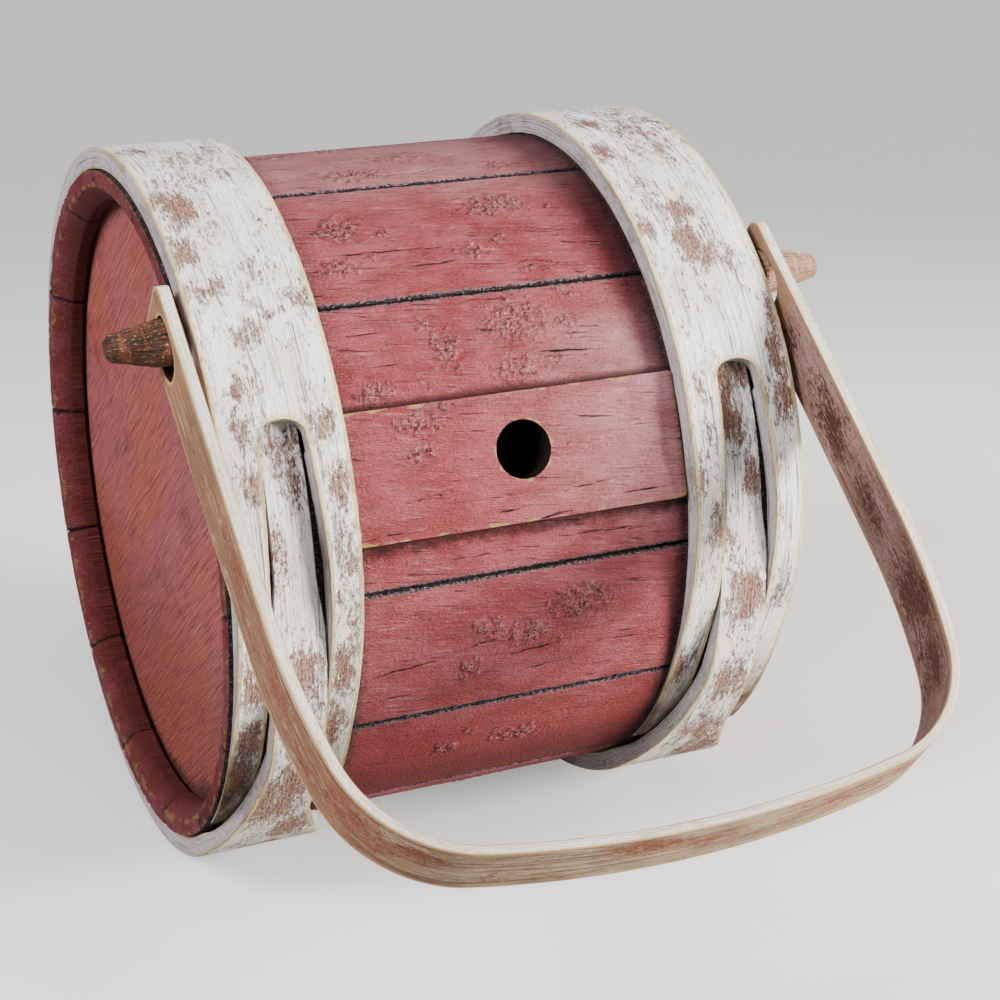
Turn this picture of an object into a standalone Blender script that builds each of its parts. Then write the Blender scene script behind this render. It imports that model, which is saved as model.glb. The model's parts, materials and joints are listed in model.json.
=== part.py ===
"""A small staved canteen: shell of staves, two heads, bung board, two lapped hoops, two pegs and a bail.

The barrel lies on its hoops with its axis along X, and the bail is held forward (-Y) and part way down.
Lengths are in metres and angles in degrees. An angle round the barrel starts at the front (-Y), and grows upwards.
"""

import math

import bmesh
import bpy
from mathutils import Matrix, Vector

# Clearances, and the distance within which two points are one
FIT_GAP = 0.0003
SWING_GAP = 0.0003
SAME_PLACE = 0.000001
SAME_PLANE = 0.01

# Shell of staves
SHELL_RADIUS = 0.1000
SHELL_LENGTH = 0.1725
STAVE_THICKNESS = 0.0092
CHIME_LAND = 0.0048
CHIME_DEPTH = 0.0055
BUNG_STAVE_ARC = 45.9
BUNG_STAVE_LOW_EDGE = 1.6
PLAIN_STAVE_WIDTHS = (25, 27.5, 27, 28.5, 25, 24.5, 25, 26.5, 28.5, 24, 26, 26.5)
SHELL_STEPS = 96

# Heads
HEAD_RECESS = 0.0095
HEAD_THICKNESS = 0.0080
HEAD_RIM = 0.0040
CROZE_DEPTH = 0.0028
HEAD_BEVEL = 0.0040
HEAD_OUTER_BEVEL = 0.0015

# Bung board and bung hole
BOARD_WIDTH = 0.0362
BOARD_THICKNESS = 0.0035
BOARD_ANGLE = 19.6
BOARD_EDGE = 0.0008
BUNG_RADIUS = 0.00815
BUNG_ANGLE = 20.7
BUNG_OFFSET = 0.0015
BUNG_STEPS = 40

# Hoops, each one lath, flat before it is bent round
HOOP_WIDTH = 0.0351
HOOP_THICKNESS = 0.0064
HOOP_SETBACK = 0.0013
HOOP_FACETS = 48
SLOT_WIDTH = 0.0162
SLOT_TOP_WIDTH = 0.0126
SLOT_TAPER_START = 8.0
SLOT_TAPER_END = 27.4
SLOT_ARCH_RISE = 2.4
SLOT_ARCH_STEPS = 8
PRONG_TIP = -45.8
PRONG_TIP_THICKNESS = 0.0008
PRONG_THIN_AT = -27.8
PRONG_FULL_AT = 10.2
SHOULDER = 306.2
SHOULDER_ENDS = {-1: 336.2, 1: 323.2}
SHOULDER_CURVES = {-1: 1.2, 1: 1.5}
SHOULDER_STEPS = 8
TONGUE_SIDE_GAP = 0.0005
TONGUE_THICKNESS = 0.0017
TONGUE_DIVE_START = 334.2
TONGUE_DIVE_END = 368.2
TONGUE_TAPER_START = 356.0
TONGUE_TAPER_STEPS = 3
TONGUE_TIP = 395.0
STRAP_LIFT_START = 304.2
STRAP_LIFT_END = 311.2
POCKET_END = 397.5

# Pegs
PEG_RADIUS = 0.0066
PEG_LENGTH = 0.0197
PEG_TAPER_START = 0.0060
PEG_TIP_RADIUS = 0.0038
PEG_TIP_CHAMFER = 0.0013
PEG_ANGLE = 45.2
PEG_INSET = 0.0009
PEG_ROOT_RADIUS = 0.0016
PEG_ROOT_LENGTH = 0.0200
PEG_ROOT_INSET = 0.0026
PEG_STEPS = 32
PEG_ROOT_STEPS = 24

# Bail
BAIL_WIDTH = 0.0194
BAIL_THICKNESS = 0.00345
BAIL_GRIP_THICKNESS = 0.0025
BAIL_SIDE_GAP = 0.0014
BAIL_STRAIGHT = 0.0894
BAIL_LEAN_RADIUS = 0.1945
BAIL_LEAN = 12.1
BAIL_CORNER_RADIUS = 0.0367
BAIL_CORNER_END = 79.5
BAIL_END = 0.0130
BAIL_END_ROUND = 0.0040
EYE_SLACK = 0.0045
EYE_STEPS = 24
BAIL_STEPS = (4, 10, 6)
BAIL_REST = -52.2

# Colours
PAINTED_RED = (0.36, 0.085, 0.075, 1.0)
HEAD_RED = (0.23, 0.055, 0.04, 1.0)
WHITEWASH = (0.72, 0.70, 0.66, 1.0)
BAIL_WASH = (0.62, 0.55, 0.47, 1.0)
DARK_PEG = (0.12, 0.07, 0.045, 1.0)
PALE_PEG = (0.50, 0.33, 0.24, 1.0)

HOOP_INNER = SHELL_RADIUS + FIT_GAP
HOOP_OUTER = HOOP_INNER + HOOP_THICKNESS
HOOP_MIDDLE = SHELL_LENGTH / 2 - HOOP_SETBACK - HOOP_WIDTH / 2
HOOP_STEP = 360 / HOOP_FACETS
PEG_AXIS_RADIUS = SHELL_RADIUS - PEG_INSET
PEG_ROOT_AXIS_RADIUS = SHELL_RADIUS - PEG_ROOT_INSET
EYE_RADIUS = PEG_RADIUS + SWING_GAP
TONGUE_WIDTH = SLOT_WIDTH - 2 * TONGUE_SIDE_GAP
TONGUE_TIP_WIDTH = SLOT_TOP_WIDTH - 2 * TONGUE_SIDE_GAP


def round_barrel(angle, radius, along=0.0):
    """A point at an angle round the barrel, a radius from its axis and a distance along it."""
    turn = math.radians(angle)
    return Vector((along, -radius * math.cos(turn), radius * math.sin(turn)))


def ease(value):
    """A share from 0 to 1 that starts and ends gently."""
    return 0.5 - 0.5 * math.cos(math.pi * min(max(value, 0.0), 1.0))


def between(angle, start, end, first, last):
    """A size that passes from first to last between two angles."""
    return first + (last - first) * ease((angle - start) / (end - start))


def clear_scene():
    for item in list(bpy.data.objects):
        bpy.data.objects.remove(item, do_unlink=True)


def new_collection(name):
    collection = bpy.data.collections.new(name)
    bpy.context.scene.collection.children.link(collection)
    return collection


def new_material(name, colour, roughness):
    material = bpy.data.materials.new(name)
    material.use_nodes = True
    shader = material.node_tree.nodes["Principled BSDF"]
    shader.inputs["Base Color"].default_value = colour
    shader.inputs["Roughness"].default_value = roughness
    shader.inputs["Metallic"].default_value = 0.0
    material.diffuse_color = colour
    return material


def new_piece(name, mesh, material=None, parent=None):
    """A visible piece, or a cutter where no material is given."""
    piece = bpy.data.objects.new(name, mesh)
    if material:
        parts.objects.link(piece)
        if not mesh.materials:
            mesh.materials.append(material)
    else:
        cutters.objects.link(piece)
        piece.hide_render = True
        piece.display_type = "WIRE"
    piece.parent = parent or barrel
    return piece


def face_outwards(shape):
    bmesh.ops.recalc_face_normals(shape, faces=shape.faces)
    if shape.calc_volume(signed=True) < 0:
        bmesh.ops.reverse_faces(shape, faces=shape.faces)


def mesh_of(shape, name):
    """The mesh of a finished bmesh, with every face turned outwards."""
    face_outwards(shape)
    mesh = bpy.data.meshes.new(name)
    shape.to_mesh(mesh)
    shape.free()
    return mesh


def flat_mesh(name, outline, thickness):
    """A solid sheet in the XY plane, centred on it, with the outline's shape."""
    curve = bpy.data.curves.new(name, "CURVE")
    curve.dimensions = "2D"
    curve.fill_mode = "BOTH"
    curve.extrude = thickness / 2
    spline = curve.splines.new("POLY")
    spline.points.add(len(outline) - 1)
    for point, place in zip(spline.points, outline):
        point.co = (place[0], place[1], 0.0, 1.0)
    spline.use_cyclic_u = True
    drawn = bpy.data.objects.new(name, curve)
    bpy.context.scene.collection.objects.link(drawn)
    seen = drawn.evaluated_get(bpy.context.evaluated_depsgraph_get())
    mesh = bpy.data.meshes.new_from_object(seen)
    mesh.name = name
    bpy.data.objects.remove(drawn, do_unlink=True)
    shape = bmesh.new()
    shape.from_mesh(mesh)
    bmesh.ops.remove_doubles(shape, verts=shape.verts, dist=SAME_PLACE)
    bmesh.ops.dissolve_limit(shape, angle_limit=SAME_PLANE, verts=shape.verts, edges=shape.edges)
    face_outwards(shape)
    shape.to_mesh(mesh)
    shape.free()
    return mesh


def turned(name, profile, closed, steps, material=None):
    """A turned piece: the profile's points are (radius, height), and it turns about its own Z."""
    count = len(profile)
    edges = [(index, index + 1) for index in range(count - 1)]
    if closed:
        edges.append((count - 1, 0))
    mesh = bpy.data.meshes.new(name)
    mesh.from_pydata([(radius, 0.0, height) for radius, height in profile], edges, [])
    piece = new_piece(name, mesh, material)
    screw = piece.modifiers.new("Turn", "SCREW")
    screw.axis = "Z"
    screw.steps = steps
    screw.render_steps = steps
    screw.use_merge_vertices = True
    screw.merge_threshold = SAME_PLACE
    screw.use_smooth_shade = True
    return piece


def rod_cutter(name, radius, start, end, steps):
    """A round cutter, or a round tenon to join on, between two points."""
    shape = bmesh.new()
    length = (end - start).length
    bmesh.ops.create_cone(
        shape, cap_ends=True, segments=steps, radius1=radius, radius2=radius, depth=length
    )
    rod = new_piece(name, mesh_of(shape, name))
    rod.location = (start + end) / 2
    rod.rotation_euler = (end - start).to_track_quat("Z", "Y").to_euler()
    return rod


def combine(piece, other, operation):
    modifier = piece.modifiers.new(other.name, "BOOLEAN")
    modifier.operation = operation
    modifier.object = other
    modifier.solver = "EXACT"


def stave_profile():
    """The long section of a stave, as (radius, height), down the outside and back up the inside."""
    end = SHELL_LENGTH / 2
    inner = SHELL_RADIUS - STAVE_THICKNESS
    groove = inner + CROZE_DEPTH
    low_half = [
        (SHELL_RADIUS, -end),
        (SHELL_RADIUS - CHIME_LAND, -end),
        (inner, -end + CHIME_DEPTH),
        (inner, -end + HEAD_RECESS - FIT_GAP),
        (groove, -end + HEAD_RECESS - FIT_GAP),
        (groove, -end + HEAD_RECESS + HEAD_RIM + FIT_GAP),
        (inner, -end + HEAD_RECESS + HEAD_RIM + FIT_GAP),
    ]
    high_half = [(radius, -height) for radius, height in reversed(low_half)]
    return low_half + high_half


def stave_wedge(name, start, end):
    """A wedge between two joints of the shell, drawn in by half the joint's gap on each side."""
    middle = (start + end) / 2
    half = (end - start) / 2
    apex = FIT_GAP / 2 / math.sin(math.radians(half))
    reach = 2 * SHELL_RADIUS
    corners = [round_barrel(middle, apex)]
    for angle in (start, end):
        corners.append(corners[0] + round_barrel(angle, reach))
    outline = [(corner.y, corner.z) for corner in corners]
    mesh = flat_mesh(name, outline, 2 * SHELL_LENGTH)
    mesh.transform(Matrix(((0, 0, 1, 0), (1, 0, 0, 0), (0, 1, 0, 0), (0, 0, 0, 1))))
    return new_piece(name, mesh)


def make_stave(name, start, end, material):
    stave = turned(name, stave_profile(), True, SHELL_STEPS, material)
    stave.rotation_euler = (0.0, math.radians(90), 0.0)
    combine(stave, stave_wedge("cut_" + name, start, end), "INTERSECT")
    return stave


def bung_bore():
    """The cutter for the bung hole, through the board and the stave under it."""
    inside = round_barrel(BUNG_ANGLE, SHELL_RADIUS - 2 * STAVE_THICKNESS, BUNG_OFFSET)
    outside = round_barrel(BUNG_ANGLE, HOOP_OUTER + BOARD_THICKNESS, BUNG_OFFSET)
    return rod_cutter("cut_bung_hole", BUNG_RADIUS, inside, outside, BUNG_STEPS)


def peg_root(name, side, radius, out, length):
    """A rod in line with a peg's root, from out beyond the stave's end to a length inside it."""
    end = SHELL_LENGTH / 2
    start = round_barrel(PEG_ANGLE, PEG_ROOT_AXIS_RADIUS, side * (end + out))
    stop = round_barrel(PEG_ANGLE, PEG_ROOT_AXIS_RADIUS, side * (end - length))
    return rod_cutter(name, radius, start, stop, PEG_ROOT_STEPS)


def make_staves(material):
    end = BUNG_STAVE_LOW_EDGE + BUNG_STAVE_ARC
    bung_stave = make_stave("bung_stave", BUNG_STAVE_LOW_EDGE, end, material)
    combine(bung_stave, bung_bore(), "DIFFERENCE")
    for side, word in ((-1, "left"), (1, "right")):
        radius = PEG_ROOT_RADIUS + FIT_GAP
        socket = peg_root("cut_socket_" + word, side, radius, PEG_RADIUS, PEG_ROOT_LENGTH + FIT_GAP)
        combine(bung_stave, socket, "DIFFERENCE")
    share = (360 - BUNG_STAVE_ARC) / sum(PLAIN_STAVE_WIDTHS)
    edge = BUNG_STAVE_LOW_EDGE
    for number, width in enumerate(PLAIN_STAVE_WIDTHS, start=1):
        make_stave("stave_%02d" % number, edge - width * share, edge, material)
        edge -= width * share


def make_heads(material):
    """Each head's own Z points out of the barrel, and its outer face is at its origin."""
    wall = SHELL_RADIUS - STAVE_THICKNESS
    rim = wall + CROZE_DEPTH - FIT_GAP
    face = wall - FIT_GAP
    profile = [
        (0.0, 0.0),
        (face, 0.0),
        (rim, -HEAD_OUTER_BEVEL),
        (rim, -HEAD_RIM),
        (face, -HEAD_RIM),
        (face - HEAD_BEVEL, -HEAD_THICKNESS),
        (0.0, -HEAD_THICKNESS),
    ]
    for side, name in ((-1, "head_left"), (1, "head_right")):
        head = turned(name, profile, False, SHELL_STEPS, material)
        head.location.x = side * (SHELL_LENGTH / 2 - HEAD_RECESS)
        head.rotation_euler.y = side * math.radians(90)


def make_bung_board(material):
    """A flat board, hollowed underneath to the shell, its own Z pointing out of the barrel."""
    top = SHELL_RADIUS + FIT_GAP + BOARD_THICKNESS
    bottom = SHELL_RADIUS - STAVE_THICKNESS
    length = 2 * (HOOP_MIDDLE - HOOP_WIDTH / 2 - FIT_GAP)
    shape = bmesh.new()
    bmesh.ops.create_cube(shape, size=1.0)
    bmesh.ops.scale(shape, vec=(length, BOARD_WIDTH, top - bottom), verts=shape.verts)
    bmesh.ops.translate(shape, vec=(0.0, 0.0, (top + bottom) / 2), verts=shape.verts)
    board = new_piece("bung_board", mesh_of(shape, "bung_board"), material)
    board.rotation_euler.x = math.radians(90 - BOARD_ANGLE)
    bevel = board.modifiers.new("Worn edges", "BEVEL")
    bevel.width = BOARD_EDGE
    bevel.segments = 2
    seat_radius = (SHELL_RADIUS + FIT_GAP) / math.cos(math.pi / SHELL_STEPS)
    start = Vector((-SHELL_LENGTH, 0.0, 0.0))
    end = Vector((SHELL_LENGTH, 0.0, 0.0))
    combine(board, rod_cutter("cut_board_seat", seat_radius, start, end, SHELL_STEPS), "DIFFERENCE")
    combine(board, bpy.data.objects["cut_bung_hole"], "DIFFERENCE")


def lath_inner(turn):
    """The radius of a hoop's inner side: it lifts over its own prong tips, then dives to the staves."""
    lift = FIT_GAP + PRONG_TIP_THICKNESS
    if turn < STRAP_LIFT_END:
        return HOOP_INNER + lift * ease((turn - STRAP_LIFT_START) / (STRAP_LIFT_END - STRAP_LIFT_START))
    return between(turn, TONGUE_DIVE_START, TONGUE_DIVE_END, HOOP_INNER + lift, HOOP_INNER)


def lath_outer(turn):
    """The radius of a hoop's outer side: thin at the prong tips, full, then thin along the tongue."""
    if turn < SHOULDER:
        tip = HOOP_INNER + PRONG_TIP_THICKNESS
        return between(turn, PRONG_THIN_AT, PRONG_FULL_AT, tip, HOOP_OUTER)
    tail = HOOP_INNER + TONGUE_THICKNESS
    return between(turn, TONGUE_DIVE_START, TONGUE_DIVE_END, HOOP_OUTER, tail)


def lath_edge(side):
    """One edge of the lath as (turn, side): full width, the hollow shoulder, then the tongue."""
    end = SHOULDER_ENDS[side]
    edge = [(PRONG_TIP, side * HOOP_WIDTH / 2)]
    for step in range(SHOULDER_STEPS + 1):
        left = 1 - step / SHOULDER_STEPS
        half = TONGUE_WIDTH / 2 + (HOOP_WIDTH - TONGUE_WIDTH) / 2 * left ** SHOULDER_CURVES[side]
        edge.append((end + (SHOULDER - end) * left, side * half))
    taper_end = 360 + SLOT_TAPER_START
    for step in range(TONGUE_TAPER_STEPS + 1):
        turn = TONGUE_TAPER_START + (taper_end - TONGUE_TAPER_START) * step / TONGUE_TAPER_STEPS
        half = between(turn, TONGUE_TAPER_START, taper_end, TONGUE_WIDTH / 2, TONGUE_TIP_WIDTH / 2)
        edge.append((turn, side * half))
    edge.append((TONGUE_TIP, side * TONGUE_TIP_WIDTH / 2))
    return edge


def lath_outline():
    """The flat lath as (turn, side): both edges to the tongue's tip, then the slot between the prongs."""
    low_edge = lath_edge(-1)
    high_edge = lath_edge(1)
    high_edge.reverse()
    slot = [(PRONG_TIP, SLOT_WIDTH / 2), (SLOT_TAPER_START, SLOT_WIDTH / 2)]
    for step in range(SLOT_ARCH_STEPS + 1):
        angle = math.pi * step / SLOT_ARCH_STEPS
        rise = SLOT_TAPER_END + SLOT_ARCH_RISE * math.sin(angle)
        slot.append((rise, SLOT_TOP_WIDTH / 2 * math.cos(angle)))
    slot += [(SLOT_TAPER_START, -SLOT_WIDTH / 2), (PRONG_TIP, -SLOT_WIDTH / 2)]
    return low_edge + high_edge + slot


def bent_mesh(name, outline, inner, outer):
    """A flat lath bent round the barrel, its two sides at the given radii, flat between the facets' edges."""
    per_degree = math.radians(1) * SHELL_RADIUS
    mesh = flat_mesh(name, [(turn * per_degree, side) for turn, side in outline], HOOP_THICKNESS)
    shape = bmesh.new()
    shape.from_mesh(mesh)
    first = min(turn for turn, side in outline)
    last = max(turn for turn, side in outline)
    facet = math.floor((first + 90) / HOOP_STEP - 0.5)
    edge = (facet + 0.5) * HOOP_STEP - 90
    while edge < last:
        if edge > first:
            bmesh.ops.bisect_plane(
                shape,
                geom=list(shape.verts) + list(shape.edges) + list(shape.faces),
                dist=SAME_PLACE,
                plane_co=(edge * per_degree, 0.0, 0.0),
                plane_no=(1.0, 0.0, 0.0),
            )
        edge += HOOP_STEP
    bmesh.ops.triangulate(shape, faces=shape.faces)
    for vertex in shape.verts:
        turn = vertex.co.x / per_degree
        off_middle = (turn + 90 + HOOP_STEP / 2) % HOOP_STEP - HOOP_STEP / 2
        radius = outer(turn) if vertex.co.z > 0 else inner(turn)
        radius /= math.cos(math.radians(off_middle))
        vertex.co = round_barrel(turn, radius, vertex.co.y)
    face_outwards(shape)
    shape.to_mesh(mesh)
    shape.free()
    return mesh


def pocket_mesh(name):
    """The hollow inside a hoop, past its slot, that takes the tip of the tongue."""
    half = TONGUE_TIP_WIDTH / 2 + TONGUE_SIDE_GAP
    start = SLOT_TAPER_END - SLOT_ARCH_RISE
    end = POCKET_END - 360
    outline = [(start, -half), (end, -half), (end, half), (start, half)]
    depth = HOOP_INNER + TONGUE_THICKNESS + FIT_GAP
    return bent_mesh(name, outline, lambda turn: SHELL_RADIUS - STAVE_THICKNESS, lambda turn: depth)


def make_hoops(material):
    """Both hoops are alike, and each object's origin is on the barrel's axis at its hoop's middle."""
    lath = bent_mesh("hoop", lath_outline(), lath_inner, lath_outer)
    pocket = pocket_mesh("cut_pocket")
    for side, word in ((-1, "left"), (1, "right")):
        hoop = new_piece("hoop_" + word, lath, material)
        hoop.location.x = side * HOOP_MIDDLE
        cutter = new_piece("cut_pocket_" + word, pocket)
        cutter.location.x = side * HOOP_MIDDLE
        combine(hoop, cutter, "DIFFERENCE")


def make_pegs(left_material, right_material):
    """Each peg's own Z points out of the barrel; its root is a thin rod set into the stave's end."""
    taper_end = PEG_LENGTH - PEG_TIP_CHAMFER
    profile = [
        (0.0, PEG_LENGTH),
        (PEG_TIP_RADIUS - PEG_TIP_CHAMFER, PEG_LENGTH),
        (PEG_TIP_RADIUS, taper_end),
        (PEG_RADIUS, PEG_TAPER_START),
        (PEG_RADIUS, 0.0),
        (0.0, 0.0),
    ]
    for side, word, material in ((-1, "left", left_material), (1, "right", right_material)):
        peg = turned("peg_" + word, profile, False, PEG_STEPS, material)
        peg.location = round_barrel(PEG_ANGLE, PEG_AXIS_RADIUS, side * (SHELL_LENGTH / 2 + FIT_GAP))
        peg.rotation_euler.y = side * math.radians(90)
        root = peg_root("root_" + word, side, PEG_ROOT_RADIUS, PEG_TAPER_START / 2, PEG_ROOT_LENGTH)
        combine(peg, root, "UNION")


def bail_line():
    """Half of the bail's middle line, from the arm's end to the grip's middle, as (x, drop, lean)."""
    half_span = SHELL_LENGTH / 2 + BAIL_SIDE_GAP + BAIL_THICKNESS / 2
    line = [(half_span, -BAIL_END, 0.0)]
    x = half_span
    drop = BAIL_STRAIGHT
    lean = 0.0
    line.append((x, drop, lean))
    bends = [
        (BAIL_LEAN_RADIUS, math.radians(BAIL_LEAN), BAIL_STEPS[0]),
        (BAIL_CORNER_RADIUS, math.radians(BAIL_CORNER_END), BAIL_STEPS[1]),
        (None, math.pi / 2, BAIL_STEPS[2]),
    ]
    for radius, stop, steps in bends:
        if radius is None:
            radius = x / math.cos(lean)
        for step in range(1, steps + 1):
            angle = lean + (stop - lean) * step / steps
            across = radius * (math.cos(lean) - math.cos(angle))
            along = radius * (math.sin(angle) - math.sin(lean))
            line.append((x - across, drop + along, angle))
        x, drop, lean = line[-1]
    return line


def bail_outline():
    """The bail seen along its width: the outer side from right to left, then the inner side back."""
    line = bail_line()
    bottom = line[-1][1]
    outer = []
    inner = []
    for x, drop, lean in line:
        share = ease((drop - BAIL_STRAIGHT) / (bottom - BAIL_STRAIGHT))
        half = (BAIL_THICKNESS + (BAIL_GRIP_THICKNESS - BAIL_THICKNESS) * share) / 2
        outer.append((x + half * math.cos(lean), -drop - half * math.sin(lean)))
        inner.append((x - half * math.cos(lean), -drop + half * math.sin(lean)))
    outer[-1] = (0.0, outer[-1][1])
    inner[-1] = (0.0, inner[-1][1])
    left_outer = [(-x, height) for x, height in reversed(outer[:-1])]
    right_inner = [(x, height) for x, height in reversed(inner[:-1])]
    left_inner = [(-x, height) for x, height in inner]
    return outer + left_outer + left_inner + right_inner


def eye_cutter(pivot):
    """A slot through both arms: its upper end is round the peg, and its slack is towards the grip."""
    outline = []
    for centre, start in ((0.0, 0.0), (-EYE_SLACK, math.pi)):
        for step in range(EYE_STEPS + 1):
            angle = start + math.pi * step / EYE_STEPS
            outline.append((EYE_RADIUS * math.cos(angle), centre + EYE_RADIUS * math.sin(angle)))
    mesh = flat_mesh("cut_eyes", outline, 2 * SHELL_LENGTH)
    mesh.transform(Matrix(((0, 0, 1, 0), (1, 0, 0, 0), (0, 1, 0, 0), (0, 0, 0, 1))))
    return new_piece("cut_eyes", mesh, parent=pivot)


def make_bail(pivot, material):
    """The bail hangs down its pivot's own -Z, with its origin on the pegs' shared axis."""
    mesh = flat_mesh("bail", bail_outline(), BAIL_WIDTH)
    mesh.transform(Matrix.Rotation(math.radians(90), 4, "X"))
    shape = bmesh.new()
    shape.from_mesh(mesh)
    corners = []
    for edge in shape.edges:
        at_end = all(abs(vertex.co.z - BAIL_END) < SAME_PLACE for vertex in edge.verts)
        first, second = edge.verts
        if at_end and abs(first.co.y - second.co.y) < SAME_PLACE:
            corners.append(edge)
    bmesh.ops.bevel(
        shape, geom=corners, offset=BAIL_END_ROUND, offset_type="OFFSET", segments=4,
        profile=0.5, affect="EDGES",
    )
    shape.to_mesh(mesh)
    shape.free()
    bail = new_piece("bail", mesh, material, pivot)
    combine(bail, eye_cutter(pivot), "DIFFERENCE")


def bail_reach():
    """How far the bail reaches forward of the barrel's axis as it is held."""
    swing = Matrix.Rotation(math.radians(BAIL_REST), 4, "X")
    axis = round_barrel(PEG_ANGLE, PEG_AXIS_RADIUS)
    reach = 0.0
    for x, height in bail_outline():
        for side in (-1, 1):
            corner = axis + swing @ Vector((0.0, side * BAIL_WIDTH / 2, height))
            reach = max(reach, -corner.y)
    return reach


clear_scene()
parts = new_collection("wooden_canteen")
cutters = new_collection("cutters")

# The barrel stands on the floor, and the whole canteen is centred over the origin
barrel = bpy.data.objects.new("barrel_axis", None)
parts.objects.link(barrel)
barrel.location = (0.0, (bail_reach() - HOOP_OUTER) / 2, HOOP_OUTER)

bail_pivot = bpy.data.objects.new("bail_pivot", None)
parts.objects.link(bail_pivot)
bail_pivot.parent = barrel
bail_pivot.location = round_barrel(PEG_ANGLE, PEG_AXIS_RADIUS)
bail_pivot.rotation_euler.x = math.radians(BAIL_REST)

red_paint = new_material("red_paint", PAINTED_RED, 0.75)
head_paint = new_material("head_paint", HEAD_RED, 0.7)
whitewash = new_material("whitewash", WHITEWASH, 0.8)
bail_wash = new_material("bail_wash", BAIL_WASH, 0.8)
dark_wood = new_material("dark_peg_wood", DARK_PEG, 0.8)
pale_wood = new_material("pale_peg_wood", PALE_PEG, 0.8)

make_staves(red_paint)
make_heads(head_paint)
make_bung_board(red_paint)
make_hoops(whitewash)
make_pegs(dark_wood, pale_wood)
make_bail(bail_pivot, bail_wash)
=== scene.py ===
"""The looks of a small staved canteen: faded red staves, whitewashed hoops and bail, all worn and chipped.

Lengths are in metres and angles in degrees. An angle round the barrel starts at the front (-Y) and grows
upwards. A piece's "along" runs with the wood's fibres, and its "across" runs over them. Its "grain" layer
holds both for the materials, with a third number that sets the noise of one piece apart from the next.
"""

import json
import math

import bmesh
import bpy
import numpy as np
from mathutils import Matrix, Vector


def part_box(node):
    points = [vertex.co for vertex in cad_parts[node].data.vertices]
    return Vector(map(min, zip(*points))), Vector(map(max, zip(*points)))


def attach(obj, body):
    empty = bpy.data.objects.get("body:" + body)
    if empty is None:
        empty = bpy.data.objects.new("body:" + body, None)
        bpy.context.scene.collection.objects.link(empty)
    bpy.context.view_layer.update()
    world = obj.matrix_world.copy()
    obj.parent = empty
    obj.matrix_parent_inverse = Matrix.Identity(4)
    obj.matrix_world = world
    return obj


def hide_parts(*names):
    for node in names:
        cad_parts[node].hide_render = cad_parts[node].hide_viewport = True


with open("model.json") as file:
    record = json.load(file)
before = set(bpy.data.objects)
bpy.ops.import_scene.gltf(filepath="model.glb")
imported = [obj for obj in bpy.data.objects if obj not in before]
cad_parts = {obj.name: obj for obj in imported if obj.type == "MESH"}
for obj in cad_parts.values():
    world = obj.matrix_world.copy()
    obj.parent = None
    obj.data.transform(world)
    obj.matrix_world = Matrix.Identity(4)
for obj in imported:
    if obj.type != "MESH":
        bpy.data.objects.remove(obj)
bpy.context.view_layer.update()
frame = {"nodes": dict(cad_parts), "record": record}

# Camera, fitted to the photograph
CAMERA_PLACE = (-0.22848, -0.54467, 0.33312)
CAMERA_DOWN = 20.48
CAMERA_AZIMUTH = 24.0
CAMERA_LENS = 76.97

# Sizes of the solids that their boxes don't give
FIT_GAP = 0.0003
STAVE_THICKNESS = 0.0092
CHIME_LAND = 0.0048
CHIME_DEPTH = 0.0055
HEAD_RECESS = 0.0095
HEAD_THICKNESS = 0.0080
HEAD_RIM = 0.0040
CROZE_DEPTH = 0.0028
BOARD_WIDTH = 0.0362
BOARD_CORNER = 0.0016
BUNG_RADIUS = 0.00815
BUNG_ANGLE = 20.7
BUNG_OFFSET = 0.0015
SLOT_WIDTH = 0.0162
SLOT_TOP_WIDTH = 0.0126
SLOT_TAPER_START = 8.0
SLOT_TAPER_END = 27.4
SLOT_TOP = 29.8
PRONG_TIP = -45.8
PRONG_TIP_THICKNESS = 0.0008
PRONG_THIN_AT = -27.8
PRONG_FULL_AT = 10.2
SHOULDER = 306.2
SHOULDER_ENDS = {-1: 336.2, 1: 323.2}
SHOULDER_CURVES = {-1: 1.2, 1: 1.5}
TONGUE_WIDTH = 0.0152
TONGUE_TIP_WIDTH = 0.0116
TONGUE_THICKNESS = 0.0017
TONGUE_DIVE_START = 334.2
TONGUE_DIVE_END = 368.2
TONGUE_TAPER_START = 356.0
TONGUE_TIP = 395.0
POCKET_START = 25.0
POCKET_END = 37.5
STRAP_LIFT_START = 304.2
STRAP_LIFT_END = 311.2
BAIL_WIDTH = 0.0194
BAIL_THICKNESS = 0.00345
BAIL_GRIP_THICKNESS = 0.0025
BAIL_SIDE_GAP = 0.0014
BAIL_STRAIGHT = 0.0894
BAIL_LEAN_RADIUS = 0.1945
BAIL_LEAN = 12.1
BAIL_CORNER_RADIUS = 0.0367
BAIL_CORNER_END = 79.5
BAIL_END = 0.0130
BAIL_END_ROUND = 0.0040
BAIL_REST = -52.2
EYE_SLACK = 0.0045
EYE_RADIUS = 0.0069
PEG_LENGTH = 0.0197
PEG_TAPER_START = 0.0060
PEG_TIP_RADIUS = 0.0038
PEG_TIP_ROUND = 0.0013
PEG_FLATS = 8

# Fineness of the meshes
STAVE_STEP = 0.0005
BAND_STEP = 0.0010
# The first columns of points beside a stave's and a band's edge
STAVE_EDGE_STEPS = np.array([0.0, 0.00025, 0.0005, 0.0008, 0.0012])
BAND_EDGE_STEPS = np.array([0.0, 0.00025, 0.00055, 0.0009])
NARROW_BAND = 0.004  # those of a band come closer together where half of it is narrower than this
BORE_SIDES = 48
PEG_SIDES = 72
FLOOR_SIDES = 128
HEAD_CELLS = 150
# How near each other points are doubles, values are the same place, and a radius is on the shell's outside
DOUBLES = 0.000001
SAME_PLACE = 1e-9
SKIN = 0.0001

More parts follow.
